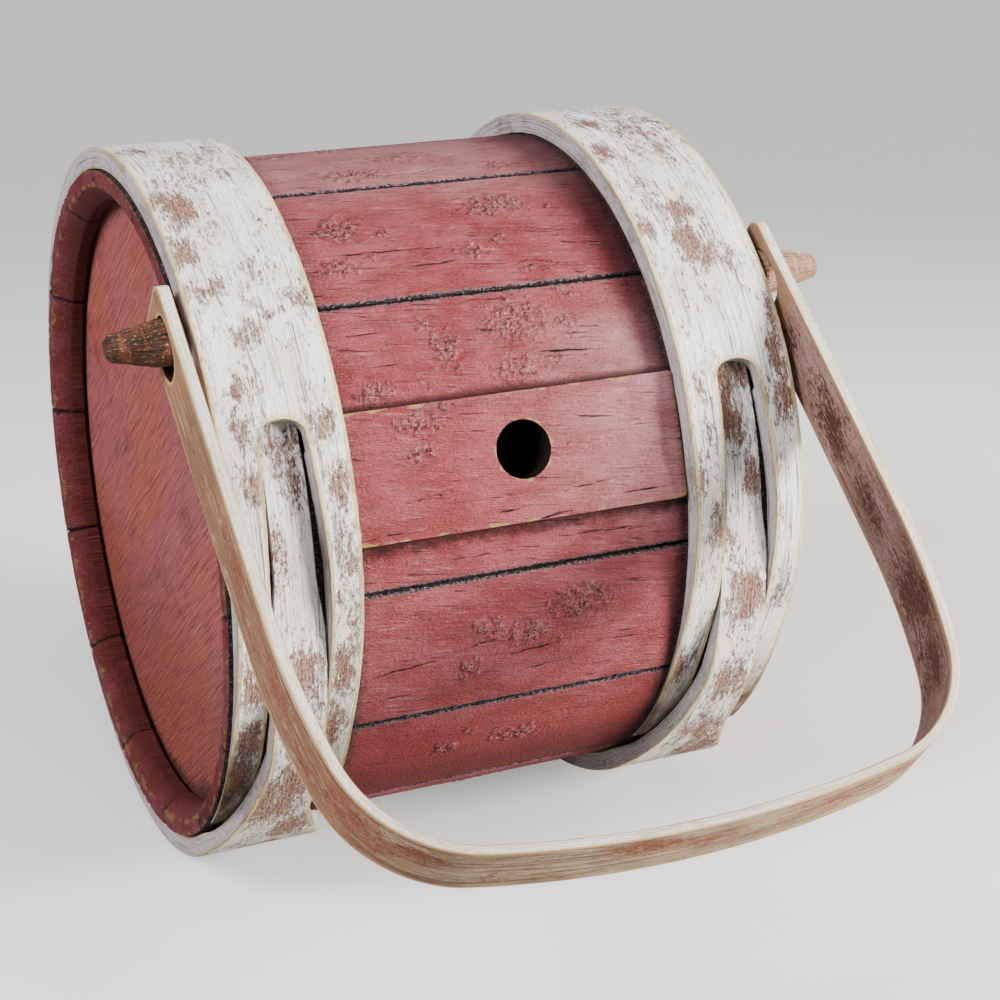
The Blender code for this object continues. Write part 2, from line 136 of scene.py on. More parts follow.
# Depths of the wear in the meshes
FURROW_DEPTH = 0.00010
STAVE_RELIEF = (0.00016, 0.00014, 0.00040, 0.00055)  # swells, lift and roughness of crumbling paint, cracks
BOARD_RELIEF = (0.00022, 0.00012, 0.00038, 0.00060)
BOARD_ROUNDING = 0.0016
HOOP_ROUNDING = 0.0007
BAIL_ROUNDING = 0.0003
# What the "edge" and "rim" layers say far from any edge and from any chipped lip
NO_EDGE = 0.02
NO_LIP = 0.05
# Front staves fade with height, painted in shade low down; those that start further round than this fade
# alike
FRONT_REACH = 0.12
BACK_FADE = 0.45
STAVE_EDGE_FALL = 0.00075
CHIP_DEPTH = 0.00030
# How far the hoops' outside and the heads' face lie inside the solids', which leaves room for their swells
HOOP_INSET = 0.00012
HEAD_INSET = 0.0003

hoop_low, hoop_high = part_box("hoop_right")
peg_low, peg_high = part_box("peg_left")
AXIS_Y = (hoop_low.y + hoop_high.y) / 2
AXIS_Z = (hoop_low.z + hoop_high.z) / 2
HOOP_OUTER = (hoop_high.z - hoop_low.z) / 2
HOOP_MIDDLE = (hoop_low.x + hoop_high.x) / 2
HOOP_WIDTH = hoop_high.x - hoop_low.x
SHELL_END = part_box("stave_03")[1].x
PEG_RADIUS = (peg_high.z - peg_low.z) / 2
PIVOT_Y = (peg_low.y + peg_high.y) / 2
PIVOT_Z = (peg_low.z + peg_high.z) / 2


def round_barrel_of(node):
    """A CAD node's points as (along, angle, radius), with angles that stay near the piece's middle one."""
    places = np.array([vertex.co for vertex in frame["nodes"][node].data.vertices])
    back = places[:, 1] - AXIS_Y
    up = places[:, 2] - AXIS_Z
    middle = math.atan2(up.mean(), -back.mean())
    angle = np.arctan2(up, -back) - middle
    angle = (angle + math.pi) % (2 * math.pi) - math.pi + middle
    return places[:, 0], np.degrees(angle), np.hypot(back, up)


def span_of(node):
    """Where the two long edges of a stave or the board lie, in metres round the shell."""
    angles = round_barrel_of(node)[1]
    return [math.radians(angle) * SHELL_RADIUS for angle in (angles.min(), angles.max())]


SHELL_RADIUS = round_barrel_of("stave_03")[2].max()
SHELL_INNER = SHELL_RADIUS - STAVE_THICKNESS
HOOP_INNER = SHELL_RADIUS + FIT_GAP
BOARD_TOP = round_barrel_of("bung_board")[2].min()
BOARD_SPAN = span_of("bung_board")
board_axis = [mount for mount in frame["record"]["mounts"] if mount["name"] == "bung_board"][0]["axis"]
BOARD_ANGLE = math.degrees(math.atan2(board_axis[2], -board_axis[1]))


# Noise


def lattice(column, row, seed):
    """A repeatable share from 0 to 1 for each crossing of a grid."""
    mixed = (column * 73856093) ^ (row * 19349663) ^ (seed * 83492791)
    mixed = (mixed ^ (mixed >> 13)) * 1274126177
    mixed = mixed ^ (mixed >> 16)
    return (mixed & 0xFFFF) / 65535.0


def noise(across, along, seed):
    """Gradient noise of about 0 to 1, with one bump to each unit."""
    column = np.floor(across).astype(np.int64)
    row = np.floor(along).astype(np.int64)
    right = across - column
    up = along - row
    total = 0.0
    for step_right in (0, 1):
        for step_up in (0, 1):
            turn = lattice(column + step_right, row + step_up, seed) * 2 * math.pi
            far_right = right - step_right
            far_up = up - step_up
            share_right = 1 - np.abs(far_right)
            share_up = 1 - np.abs(far_up)
            weight = share_right**2 * (3 - 2 * share_right) * share_up**2 * (3 - 2 * share_up)
            total = total + weight * (np.cos(turn) * far_right + np.sin(turn) * far_up)
    return np.clip(0.5 + 0.75 * total, 0.0, 1.0)


def layered(across, along, seed, layers=3):
    """Noise with finer and fainter layers added."""
    total = 0.0
    share = 1.0
    whole = 0.0
    for layer in range(layers):
        total = total + share * noise(across * 2**layer, along * 2**layer, seed + 17 * layer)
        whole += share
        share *= 0.55
    return total / whole


def ripple(size, across, along, width, length, seed):
    """Noise of a size round 0, with bumps of a width and a length."""
    return size * (layered(across / width, along / length, seed) - 0.5)


def share_of(value, low, high):
    """How far a value has come from low to high, from 0 to 1."""
    return np.clip((value - low) / (high - low), 0.0, 1.0)


def smooth(value, low, high):
    """A share that rises gently from 0 at low to 1 at high, or falls where low is above high."""
    share = share_of(value, low, high)
    return share * share * (3 - 2 * share)


def ease(value, low, high):
    """The same as smooth, along a cosine."""
    return 0.5 - 0.5 * np.cos(np.pi * share_of(value, low, high))


def between(angle, start, end, first, last):
    """A size that passes from first to last between two angles."""
    return first + (last - first) * ease(angle, start, end)


# Meshes


def round_barrel(angle, radius, along):
    """World places from angles, radii and distances along the barrel."""
    turn = np.radians(angle)
    return np.stack([along, AXIS_Y - radius * np.cos(turn), AXIS_Z + radius * np.sin(turn)], axis=-1)


def closed_mesh(name, places, faces, layers):
    """A closed mesh with named layers of numbers, its doubled points joined and its faces turned outwards."""
    mesh = bpy.data.meshes.new(name)
    mesh.from_pydata(places.reshape(-1, 3).tolist(), [], faces)
    for layer, values in layers.items():
        kind, key = ("FLOAT_VECTOR", "vector") if layer == "grain" else ("FLOAT", "value")
        made = mesh.attributes.new(layer, kind, "POINT")
        made.data.foreach_set(key, np.asarray(values, dtype=np.float32).ravel())
    shape = bmesh.new()
    shape.from_mesh(mesh)
    bmesh.ops.remove_doubles(shape, verts=shape.verts, dist=DOUBLES)
    loose = [vertex for vertex in shape.verts if not vertex.link_faces]
    bmesh.ops.delete(shape, geom=loose, context="VERTS")
    bmesh.ops.recalc_face_normals(shape, faces=shape.faces)
    if shape.calc_volume(signed=True) < 0:
        bmesh.ops.reverse_faces(shape, faces=shape.faces)
    shape.to_mesh(mesh)
    shape.free()
    return mesh


def place_object(name, data):
    """A new object of the scene with its mesh, lamp or camera."""
    made = bpy.data.objects.new(name, data)
    bpy.context.scene.collection.objects.link(made)
    return made


def new_piece(name, places, faces, layers, material, body, sharp=50):
    """A finished piece with its layers, riding on its body and standing for its CAD node."""
    mesh = closed_mesh(name, places, faces, layers)
    mesh.shade_smooth()
    mesh.set_sharp_from_angle(angle=math.radians(sharp))
    mesh.materials.append(material)
    piece = place_object("seen_" + name, mesh)
    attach(piece, body)
    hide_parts(name)
    return piece


def outline(corners, rounding, spacing):
    """A closed outline's points, with its corners softened and its runs split by their spacing."""
    corners = [np.array(corner) for corner in corners]
    count = len(corners)
    points = []
    for index, corner in enumerate(corners):
        before = corners[index - 1] - corner
        after = corners[(index + 1) % count] - corner
        reach = rounding[index]
        ends = [corner]
        if reach > 0:
            start = corner + before / np.linalg.norm(before) * reach
            stop = corner + after / np.linalg.norm(after) * reach
            shares = (0, 0.25, 0.5, 0.75, 1)
            ends = [(1 - t) ** 2 * start + 2 * t * (1 - t) * corner + t * t * stop for t in shares]
        if points:
            points += split_run(points[-1], ends[0], spacing[index - 1])
        points += ends
    points += split_run(points[-1], points[0], spacing[-1])
    return np.array(points)


def split_run(start, stop, spacing):
    """The points between two others, no further apart than the spacing."""
    count = max(1, math.ceil(np.linalg.norm(stop - start) / spacing))
    return [start + (stop - start) * step / count for step in range(1, count)]


def outline_normals(points):
    """The outward direction at each point of an outline that runs clockwise seen with x right and y up."""
    tangent = np.roll(points, -1, axis=0) - np.roll(points, 1, axis=0)
    tangent /= np.linalg.norm(tangent, axis=1)[:, None]
    return np.stack([-tangent[:, 1], tangent[:, 0]], axis=1)


def ring_faces(rows, ring, caps=True, offset=0, keep=None):
    """Quads between rows of a closed ring of points, those to keep or all, with a face over each end."""
    index = offset + np.arange(rows * ring).reshape(rows, ring)
    following = np.roll(index, -1, axis=1)
    quads = np.stack([index[:-1], following[:-1], following[1:], index[1:]], axis=-1)
    faces = (quads.reshape(-1, 4) if keep is None else quads[keep]).tolist()
    if caps:
        faces += [index[0][::-1].tolist(), index[-1].tolist()]
    return faces


# Wear


def soft_patches(across, along, patches):
    """Soft patches, each (along, across, half length, half width, strength), as a share from 0 to 1."""
    total = np.zeros(np.shape(across))
    for place, side, length, width, strength in patches:
        far = ((along - place) / length) ** 2 + ((across - side) / width) ** 2
        total = np.maximum(total, strength * np.exp(-1.1 * far))
    return total


def patch_mask(across, along, patches, seed):
    """Ragged patches with stray clumps round them, as a share from 0 to 1."""
    soft = soft_patches(across, along, patches)
    ragged = ripple(2.6, across, along, 0.0024, 0.0024, seed)
    return smooth(soft + ragged * (0.35 + soft), 0.40, 0.85) * smooth(soft, 0.08, 0.28)


def crack_mask(across, along, cracks, seed, width=0.0011):
    """How near each place is to a crack, from 0 to 1; a crack is (along, across, along, across, strength)."""
    best = np.zeros(np.shape(across))
    for start, start_side, stop, stop_side, strength in cracks:
        share = share_of(along, start, stop)
        line = start_side + (stop_side - start_side) * share
        line = line + 0.0010 * (noise(along / 0.006, along * 0 + seed, seed) - 0.5)
        taper = np.clip(4 * share * (1 - share), 0.0, 1.0)
        near = np.clip(1 - np.abs(across - line) / width, 0.0, 1.0)
        swelling = 0.6 + 0.8 * noise(along / 0.004, along * 0 + 3.5, seed + 1)
        best = np.maximum(best, near * (0.70 + 0.30 * strength * taper * swelling) * (taper > 0))
    return best


STRAY_PATCHES = 6
STRAY_CRACKS = 5
STRAY_REACH = 0.045  # how far from the middle of a stave they lie at most


def stray_patches(seed, across_low, across_high):
    """Patches of crumbling paint for the staves that the photograph doesn't show."""
    pick = np.random.default_rng(seed)
    return [
        (
            pick.uniform(-STRAY_REACH, STRAY_REACH), pick.uniform(across_low, across_high),
            pick.uniform(0.004, 0.013), pick.uniform(0.003, 0.008), pick.uniform(0.6, 1.0),
        )
        for _ in range(STRAY_PATCHES)
    ]


def stray_cracks(seed, across_low, across_high):
    """Thin cracks that run with the fibres."""
    pick = np.random.default_rng(seed)
    cracks = []
    for _ in range(STRAY_CRACKS):
        start = pick.uniform(-STRAY_REACH, STRAY_REACH)
        side = pick.uniform(across_low, across_high)
        length = pick.uniform(0.012, 0.035)
        slant = pick.uniform(-0.1, 0.1) * length
        cracks.append((start, side, start + length, side + slant, pick.uniform(0.45, 0.8)))
    return cracks


# Crumbling patches in the paint, as (millimetres along, degrees round, half length, half width, strength)
FRONT_PATCHES = {
    "stave_12": [
        (-33, 63, 8, 6.5, 1.0), (-20, 61.5, 3.5, 3, 0.8), (-37, 54.8, 7, 4, 0.9), (-27, 56.5, 2.5, 2.5, 0.8),
        (16, 65.5, 12, 6, 1.0), (3, 55.3, 6, 4, 0.9), (12, 57.5, 3.5, 2.5, 0.7), (18, 50.5, 6, 2.5, 0.7),
        (31, 64, 2.5, 2, 0.6),
    ],
    "bung_stave": [
        (7, 41.8, 11, 8, 1.0), (25, 46, 5, 3, 0.8), (23, 40, 5.5, 4, 0.8), (-15, 38, 5.5, 7.5, 0.9),
        (-20, 42.5, 3, 3, 0.7), (4, 33.5, 9, 4.5, 0.9), (-37, 32.5, 7, 4, 1.0), (-23, 32.5, 3, 2.5, 0.8),
        (16, 34, 4, 3, 0.7),
    ],
    "bung_board": [(-28, 27.0, 8.5, 4, 1.0), (-29, 22.5, 6, 3, 0.8), (-19, 29.0, 3.5, 2.5, 0.8)],
    "stave_01": [
        (16.5, -5.3, 12, 6, 1.0), (-11, -7.5, 5.5, 5, 0.8), (1, -9.5, 9, 6, 0.8), (-16, -15, 5, 5.5, 0.8),
        (13, -13, 7, 3, 0.5),
    ],
    "stave_02": [(4.5, -34, 10.5, 4.5, 0.9), (-18, -34.5, 6.5, 4.5, 0.8), (-12, -30.5, 4, 2.5, 0.7)],
}

# Cracks along the fibres, as (millimetres along, degrees round, to, to, strength)
FRONT_CRACKS = {
    "stave_12": [
        (-47, 57.5, -1, 57.0, 0.75), (-19, 53.6, 0, 53.9, 0.7), (10, 53.0, 34, 50.6, 0.6),
        (18, 59.6, 36, 58.0, 0.5),
    ],
    "bung_stave": [
        (9, 36.0, 31, 34.9, 0.95), (-44, 42.2, -29, 42.3, 0.6), (-40, 36.5, -24, 36.8, 0.5),
        (-8, 46.0, 8, 45.8, 0.4), (-30, 5.0, 6, 5.2, 0.5), (10, 6.2, 40, 5.4, 0.5),
    ],
    "bung_board": [
        (-38, 14.9, -16, 16.0, 1.0), (-13, 15.4, -5, 15.6, 0.7), (-10, 11.4, -1, 11.6, 0.85),
        (1, 9.4, 14, 10.1, 0.85), (10, 13.2, 30, 14.3, 0.55), (12, 20.6, 31, 19.3, 0.75),
        (33, 18.6, 47, 17.9, 0.85), (38, 15.7, 47, 16.2, 0.7), (26, 11.6, 46, 11.6, 0.65),
        (-49, 10.5, -22, 10.6, 0.6), (-30, 9.2, -20, 9.4, 0.45),
    ],
    "stave_01": [
        (-48, -13.6, -22, -11.8, 0.8), (-5, -13.5, 12, -13.0, 0.8), (-20, -11, -4, -9.6, 0.55),
        (-48, -18.8, -30, -18.0, 0.5), (-2, -17.5, 16, -16.6, 0.5), (20, -14, 44, -14.5, 0.55),
    ],
    "stave_02": [(-46, -35.5, -25, -35.3, 0.6), (-40, -28.6, -18, -28.2, 0.4), (6, -29.0, 28, -30.5, 0.4)],
}


def patches_in_metres(patches):
    return [
        (a / 1000, math.radians(b) * SHELL_RADIUS, c / 1000, d / 1000, strength)
        for a, b, c, d, strength in patches
    ]


def cracks_in_metres(cracks):
    return [
        (a / 1000, math.radians(b) * SHELL_RADIUS, c / 1000, math.radians(d) * SHELL_RADIUS, strength)
        for a, b, c, d, strength in cracks
    ]


def crumbs(across, along, seed):
    """The relief of crumbling paint: clumps with gaps between them, from about -0.5 to 0.5."""
    swirl = ripple(0.0012, across, along, 0.004, 0.004, seed + 3)
    ridges = 1 - np.abs(2 * noise((across + swirl) / 0.0011, (along - swirl) / 0.0013, seed) - 1) * 2.6
    lumps = layered(across / 0.0010, along / 0.0011, seed + 5, 2) - 0.5
    return np.clip(0.40 * ridges + 1.2 * lumps, -0.6, 0.6)


def fibres(across, along, seed):
    """Fine furrows along the wood, from 0 to 1 in a furrow."""
    wander = ripple(0.0011, across, along, 0.012, 0.03, seed + 1)
    lines = layered((across + wander) / 0.0011, along / 0.020, seed, 2)
    return smooth(lines, 0.52, 0.78)


def paint_relief(across, along, seed, crumble, crumb, crack, depths):
    """The height of worn paint: swells, furrows, crumbling patches and cracks."""
    swell, lift, rough, split = depths
    relief = ripple(swell, across, along, 0.010, 0.030, seed + 2) - FURROW_DEPTH * fibres(across, along, seed)
    return relief + crumble * (lift + rough * crumb) - split * smooth(crack, 0.60, 0.90)


# Staves


def stave_profile():
    """The stave's long section, as a closed run of (along, radius) points."""
    near = HOOP_MIDDLE - HOOP_WIDTH / 2 - 0.001
    far = HOOP_MIDDLE + HOOP_WIDTH / 2 + 0.0002
    groove = SHELL_INNER + CROZE_DEPTH
    head_side = SHELL_END - HEAD_RECESS + FIT_GAP
    head_back = SHELL_END - HEAD_RECESS - HEAD_RIM - FIT_GAP
    right = [
        (near, SHELL_RADIUS), (far, SHELL_RADIUS), (SHELL_END, SHELL_RADIUS),
        (SHELL_END, SHELL_RADIUS - CHIME_LAND), (SHELL_END - CHIME_DEPTH, SHELL_INNER),
        (head_side, SHELL_INNER), (head_side, groove), (head_back, groove), (head_back, SHELL_INNER),
    ]
    left = [(-along, radius) for along, radius in reversed(right)]
    rounding = [0, 0, 0.0007, 0.0009, 0, 0, 0, 0, 0]
    spacing = [0.003, 0.0005, STAVE_STEP, STAVE_STEP, 0.0008, 0.01, 0.01, 0.01, 0.04]
    rounding = rounding[::-1] + rounding
    spacing = spacing[-2::-1] + [STAVE_STEP] + spacing
    return outline(left + right, rounding, spacing)


def edge_columns(first, last):
    """Places from first to last, close together near both ends."""
    near = STAVE_EDGE_STEPS
    inner = np.linspace(first + near[-1], last - near[-1], max(3, round((last - first) / STAVE_STEP)))
    return np.concatenate([first + near[:-1], inner, (last - near[:-1])[::-1]])


def stave_marks(node, seed, first, last):
    """A stave's patches and cracks: those listed for the front, and stray ones for the rest."""
    if node in FRONT_PATCHES:
        return patches_in_metres(FRONT_PATCHES[node]), cracks_in_metres(FRONT_CRACKS[node])
    return stray_patches(seed, first + 0.004, last - 0.004), stray_cracks(seed, first + 0.003, last - 0.003)


def painted_board_shade(across, along, seed):
    """Painted shade on the stave along the board's two edges, wide below it and narrow above it."""
    ragged = ripple(0.8, across, along, 0.003, 0.004, seed)
    below = (BOARD_SPAN[0] - across) / 0.0060
    above = (across - BOARD_SPAN[1]) / 0.0038
    between_hoops = np.abs(along) < HOOP_MIDDLE - HOOP_WIDTH / 2
    lower = np.where((below > -0.3) & between_hoops, 0.80 * smooth(below + ragged, 1.0, 0.0), 0.0)
    return np.maximum(lower, np.where(above > -0.3, 0.85 * smooth(above, 1.0, 0.0), 0.0))


def hoop_grime_and_shade(across, along, to_hoop, outside, seed):
    """Grime and painted shade beside the hoops, and painted shade all over the stave under them and beyond.
    """
    ragged = ripple(0.004, across, along, 0.004, 0.004, seed + 6)
    hidden = (to_hoop < 0.0002) | (np.abs(along) > HOOP_MIDDLE)
    return np.where(hidden, 1.0, 0.75 * smooth(to_hoop + ragged, 0.0042, 0.0)) * outside


def frayed_edges(across, along, fibre, edge, seed):
    """How far a stave's edges fall away, and how far the lip of its end is chipped."""
    fray = ripple(0.0012, across, fibre, 0.003, 0.0022, seed + 9)
    fall = np.clip(1 - (edge + fray) / 0.0012, 0.0, 1.2) ** 2
    chips = smooth(layered(across / 0.004, fibre / 0.004, seed + 4), 0.5, 0.7)
    return fall, chips * (np.abs(along) > SHELL_END - 0.0012)


def stave_piece(node, number, material):
    """One stave: its long section swept round the barrel, with furrows, crumbling paint and frayed edges."""
    first, last = span_of(node)
    across_line = edge_columns(first, last)
    profile = stave_profile()
    along, across = np.meshgrid(profile[:, 0], across_line)
    radius = np.broadcast_to(profile[:, 1], along.shape)
    seed = 11 * number + 5
    within = (np.abs(along) < SHELL_END - HEAD_RECESS - 0.001) & (radius < SHELL_RADIUS - SKIN)
    shows = np.where(within, 0.0, 1.0)
    outside = radius > SHELL_RADIUS - SKIN
    fibre = np.where(outside, along, np.sign(along) * (SHELL_END + SHELL_RADIUS - radius))
    to_hoop = np.abs(np.abs(along) - HOOP_MIDDLE) - HOOP_WIDTH / 2
    turn = np.degrees(across / SHELL_RADIUS)
    patches, cracks = stave_marks(node, seed, first, last)
    bare = np.where(outside, smooth(to_hoop, -0.0004, 0.0012), 1.0) * shows
    crumble = patch_mask(across, fibre, patches, seed) * bare * outside
    crack = crack_mask(across, fibre, cracks, seed) * bare * outside
    # Painted shade: the right hoop's shadow on the staves, and on the bung stave the shade along the board's
    # edges
    shade = painted_hoop_shadow(along, turn) * outside * (to_hoop > -0.001)
    if node == "bung_stave":
        under_board = (across > BOARD_SPAN[0] - 0.0005) & (across < BOARD_SPAN[1] + 0.0005)
        crumble = np.where(under_board, 0.0, crumble)
        bare = np.where(under_board & outside, 0.0, bare)
        shade = np.maximum(shade, painted_board_shade(across, along, seed) * outside)
    edge = np.minimum(across - first, last - across)
    crumb = crumbs(across, fibre, seed)
    fall, chips = frayed_edges(across, along, fibre, edge, seed)
    relief = paint_relief(across, fibre, seed, crumble, crumb, crack, STAVE_RELIEF)
    relief = relief * bare - STAVE_EDGE_FALL * fall * shows * np.where(bare > 0, 1.0, 0.4)
    relief = relief - CHIP_DEPTH * chips * shows
    normals = outline_normals(profile)[None]
    places = round_barrel(turn, radius + normals[..., 1] * relief, along + normals[..., 0] * relief)
    depth = np.where(outside, 0.0, (SHELL_RADIUS - radius) + 0.3)
    end_dark = 0.5 + 0.5 * smooth(SHELL_END - np.abs(along), 0.0, 0.006)
    layers = {
        "grain": np.stack([fibre, across, depth + 0.37 * number], axis=-1),
        "edge": edge, "crack": crack, "crumble": crumble, "relief": crumb, "shade": shade,
        "rim": np.where(shows > 0, distance_to_lips(along, radius), NO_LIP),
        "grime": hoop_grime_and_shade(across, along, to_hoop, outside, seed),
        "chalk": shell_chalk_and_sheen(along, turn) * outside,
        "endwood": (~outside).astype(float) * shows * end_dark,
        "fade": smooth(turn, -48.0, 55.0) if abs(first) < FRONT_REACH else 0 * across + BACK_FADE,
    }
    faces = ring_faces(len(across_line), len(profile))
    return new_piece(node, places, faces, layers, material, "barrel")


def painted_hoop_shadow(along, turn):
    """Painted shadow of the right hoop, thinning out on the staves beside it, furthest on the upper staves.
    """
    reach = 0.008 + 0.026 * smooth(turn, 22, 62) * smooth(turn, 120, 90)
    gap = HOOP_MIDDLE - HOOP_WIDTH / 2 - along
    return 0.80 * smooth(gap, reach, -0.15 * reach)


def shell_chalk_and_sheen(along, turn):
    """Chalky paint and painted sheen on the right half of the upper front; painted sheen along the top."""
    front = smooth(along, -0.010, 0.052) * smooth(turn, 0, 14) * smooth(turn, 48, 36)
    top = 0.75 * smooth(turn, 62, 80) * smooth(turn, 140, 105)
    return np.maximum(front, top)


def distance_to_lips(along, radius):
    """How far a place on a stave's end is from the two edges of its chime."""
    outer = np.hypot(SHELL_END - np.abs(along), SHELL_RADIUS - radius)
    inner = np.hypot(SHELL_END - np.abs(along), SHELL_RADIUS - CHIME_LAND - radius)
    return np.minimum(outer, inner)


# Bands: hoops, bail and board, each a lath with a hole or a slot in it


def edge_distance(along, across, loops):
    """The distance of each place from the nearest of some outlines, each a run of (along, across) points."""
    best = np.full(along.shape, 1.0)
    for loop in loops:
        for (start, side), (stop, other) in zip(loop[:-1], loop[1:]):
            step = (stop - start, other - side)
            whole = step[0] ** 2 + step[1] ** 2
            if whole < 1e-14:
                continue
            share = ((along - start) * step[0] + (across - side) * step[1]) / whole
            share = np.clip(share, 0.0, 1.0)
            far = (along - start - share * step[0]) ** 2 + (across - side - share * step[1]) ** 2
            best = np.minimum(best, far)
    return np.sqrt(best)


class Band:
    """A lath with its stations along it, its two edges and the half width of its slot at each station."""

    def __init__(self, stations, length, edges, slot, centre=0.0):
        self.stations = stations
        self.length = length
        self.edges = edges
        self.slot = slot
        self.centre = centre

    def loops(self):
        """The lath's whole outline as runs of points, its slot and ends included."""
        runs = []
        for side in (-1, 1):
            runs.append(list(zip(self.length[::3], self.edges[side][::3])))
            wall = self.centre + side * self.slot
            open_here = np.flatnonzero(self.slot > 0)
            for opening in np.split(open_here, np.flatnonzero(np.diff(open_here) > 1) + 1):
                runs.append([(self.length[index], wall[index]) for index in opening])
            for end in (0, -1):
                runs.append([(self.length[end], wall[end]), (self.length[end], self.edges[side][end])])
        return [run for run in runs if len(run) > 1]

    def half_ring(self, side, columns, under_columns, walls):
        """Each point's across, share of height and kind of face, for one half's ring at every station."""
        inner = self.centre + side * self.slot
        outer = self.edges[side]
        width = np.abs(outer - inner)
        tight = np.minimum(1.0, width / NARROW_BAND)[:, None]
        across = []
        height = []
        kind = []
        for count, share, face in ((columns, 1.0, 1), (under_columns, 0.0, -1)):
            fine = BAND_EDGE_STEPS if count > 6 else BAND_EDGE_STEPS[:1]
            spread = np.linspace(0.0, 1.0, count)[None, :]
            low = fine[-1] * tight
            middle = low + (width[:, None] - 2 * low) * spread
            steps = np.hstack([fine[:-1] * tight, middle, width[:, None] - fine[:-1][::-1] * tight])
            wall = outer
            run = 1 - np.array(walls)
            if face < 0:
                steps = steps[:, ::-1]
                wall = inner
                run = np.array(walls)
            across += [inner[:, None] + side * steps, np.repeat(wall[:, None], len(walls), axis=1)]
            height += [np.full(steps.shape, share), np.repeat(run[None, :], len(wall), axis=0)]
            kind += [np.full(steps.shape, face), np.zeros((len(wall), len(walls)), dtype=int)]
        inner_wall = np.zeros(sum(part.shape[1] for part in across), dtype=bool)
        inner_wall[-len(walls):] = True
        return np.hstack(across), np.hstack(height), np.hstack(kind), inner_wall

    def half_faces(self, ring, walls, offset):
        """The faces of one half, without an inner wall where there's no slot."""
        closed = (self.slot[:-1] <= 0) & (self.slot[1:] <= 0)
        keep = np.ones((len(closed), ring), dtype=bool)
        keep[closed, ring - walls - 1:] = False
        return ring_faces(len(self.slot), ring, True, offset, keep)

    def shift(self, side, across, kind, inner_wall, relief, fall):
        """How far one half's points move sideways: its walls by their relief, its edges by their fall."""
        open_here = self.slot[:, None] > 0
        face = kind != 0
        at_outer = (np.abs(across - self.edges[side][:, None]) < SAME_PLACE) & face
        at_slot = (np.abs(across - self.centre - side * self.slot[:, None]) < SAME_PLACE) & face & open_here
        outward = np.where(inner_wall[None, :] | at_slot, -side, side)
        sideways = np.where(kind == 0, relief * 0.6 - fall, 0.0)
        sideways = np.where(at_outer | at_slot, -fall, sideways)
        return outward * np.where(inner_wall[None, :] & ~open_here, 0.0, sideways)


def band_piece(name, band, place, bounds, wear, material, body, columns, walls, rounding):
    """A band's two halves as one worn piece; wear gives the relief and layers for places on its faces."""
    all_places = []
    all_faces = []
    all_layers = {}
    offset = 0
    loops = band.loops()
    for side in (-1, 1):
        across, height, kind, inner_wall = band.half_ring(side, *columns, walls)
        along = np.repeat(band.length[:, None], across.shape[1], axis=1)
        stations = np.repeat(band.stations[:, None], across.shape[1], axis=1)
        low, high = bounds(stations, across)
        thick = high - low
        to_edge = edge_distance(along, across, loops)
        arris = np.where(kind == 0, np.minimum(height, 1 - height) * thick, to_edge)
        relief, layers = wear(along, across, height, kind, arris)
        bite = np.minimum(rounding, thick * 0.32)
        bite = bite * (0.55 + 0.9 * layered(along / 0.004, across * 0 + side + height, len(name), 2))
        fall = 0.45 * bite * np.clip(1 - arris / bite, 0.0, 1.0) ** 2
        radial = low + thick * height + kind * (relief - fall)
        shifted = across + band.shift(side, across, kind, inner_wall, relief, fall)
        all_places.append(place(stations, shifted, radial).reshape(-1, 3))
        all_faces += band.half_faces(across.shape[1], len(walls), offset)
        offset += across.size
        layers["grain"] = np.stack([along, across, height * 0.01 + 0.4 * len(name)], axis=-1)
        layers.setdefault("edge", arris)
        # bore: the walls of slots and holes, which the red paint and the bail's wash paint in shade
        layers["bore"] = inner_wall[None, :] & (band.slot[:, None] > 0)
        for key, values in layers.items():
            all_layers.setdefault(key, []).append(np.ravel(values))
    layers = {key: np.concatenate(values) for key, values in all_layers.items()}
    return new_piece(name, np.concatenate(all_places), all_faces, layers, material, body)


# Hoops


def hoop_edge(turn, side):
    """The hoop's edge at each turn: full width, the hollow shoulder, then the tapered tongue."""
    end = SHOULDER_ENDS[side]
    left = share_of(turn, end, SHOULDER)
    half = TONGUE_WIDTH / 2 + (HOOP_WIDTH - TONGUE_WIDTH) / 2 * left ** SHOULDER_CURVES[side]
    tip = between(turn, TONGUE_TAPER_START, 360 + SLOT_TAPER_START, TONGUE_WIDTH / 2, TONGUE_TIP_WIDTH / 2)
    return side * np.where(turn < end, half, tip)


def hoop_slot(turn):
    """The half width of the slot between the prongs, up to its arched top."""
    taper = share_of(turn, SLOT_TAPER_START, SLOT_TAPER_END)
    half = (SLOT_WIDTH + (SLOT_TOP_WIDTH - SLOT_WIDTH) * taper) / 2
    half = half * np.sqrt(1 - share_of(turn, SLOT_TAPER_END, SLOT_TOP) ** 2)
    return np.where(turn < SLOT_TOP - 1e-6, half, 0.0)


def hoop_bounds(turn, across):
    """The hoop's inner and outer radius at each turn."""
    lift = FIT_GAP + PRONG_TIP_THICKNESS
    rising = HOOP_INNER + lift * ease(turn, STRAP_LIFT_START, STRAP_LIFT_END)
    diving = between(turn, TONGUE_DIVE_START, TONGUE_DIVE_END, HOOP_INNER + lift, HOOP_INNER)
    low = np.where(turn < STRAP_LIFT_END, rising, diving)
    pocket = (turn > POCKET_START) & (turn < POCKET_END) & (np.abs(across) < TONGUE_WIDTH / 2)
    low = np.where(pocket, HOOP_INNER + TONGUE_THICKNESS + FIT_GAP, low)
    growing = between(turn, PRONG_THIN_AT, PRONG_FULL_AT, HOOP_INNER + PRONG_TIP_THICKNESS, HOOP_OUTER)
    thinning = between(turn, TONGUE_DIVE_START, TONGUE_DIVE_END, HOOP_OUTER, HOOP_INNER + TONGUE_THICKNESS)
    high = np.where(turn < SHOULDER, growing, thinning)
    return low, high - HOOP_INSET


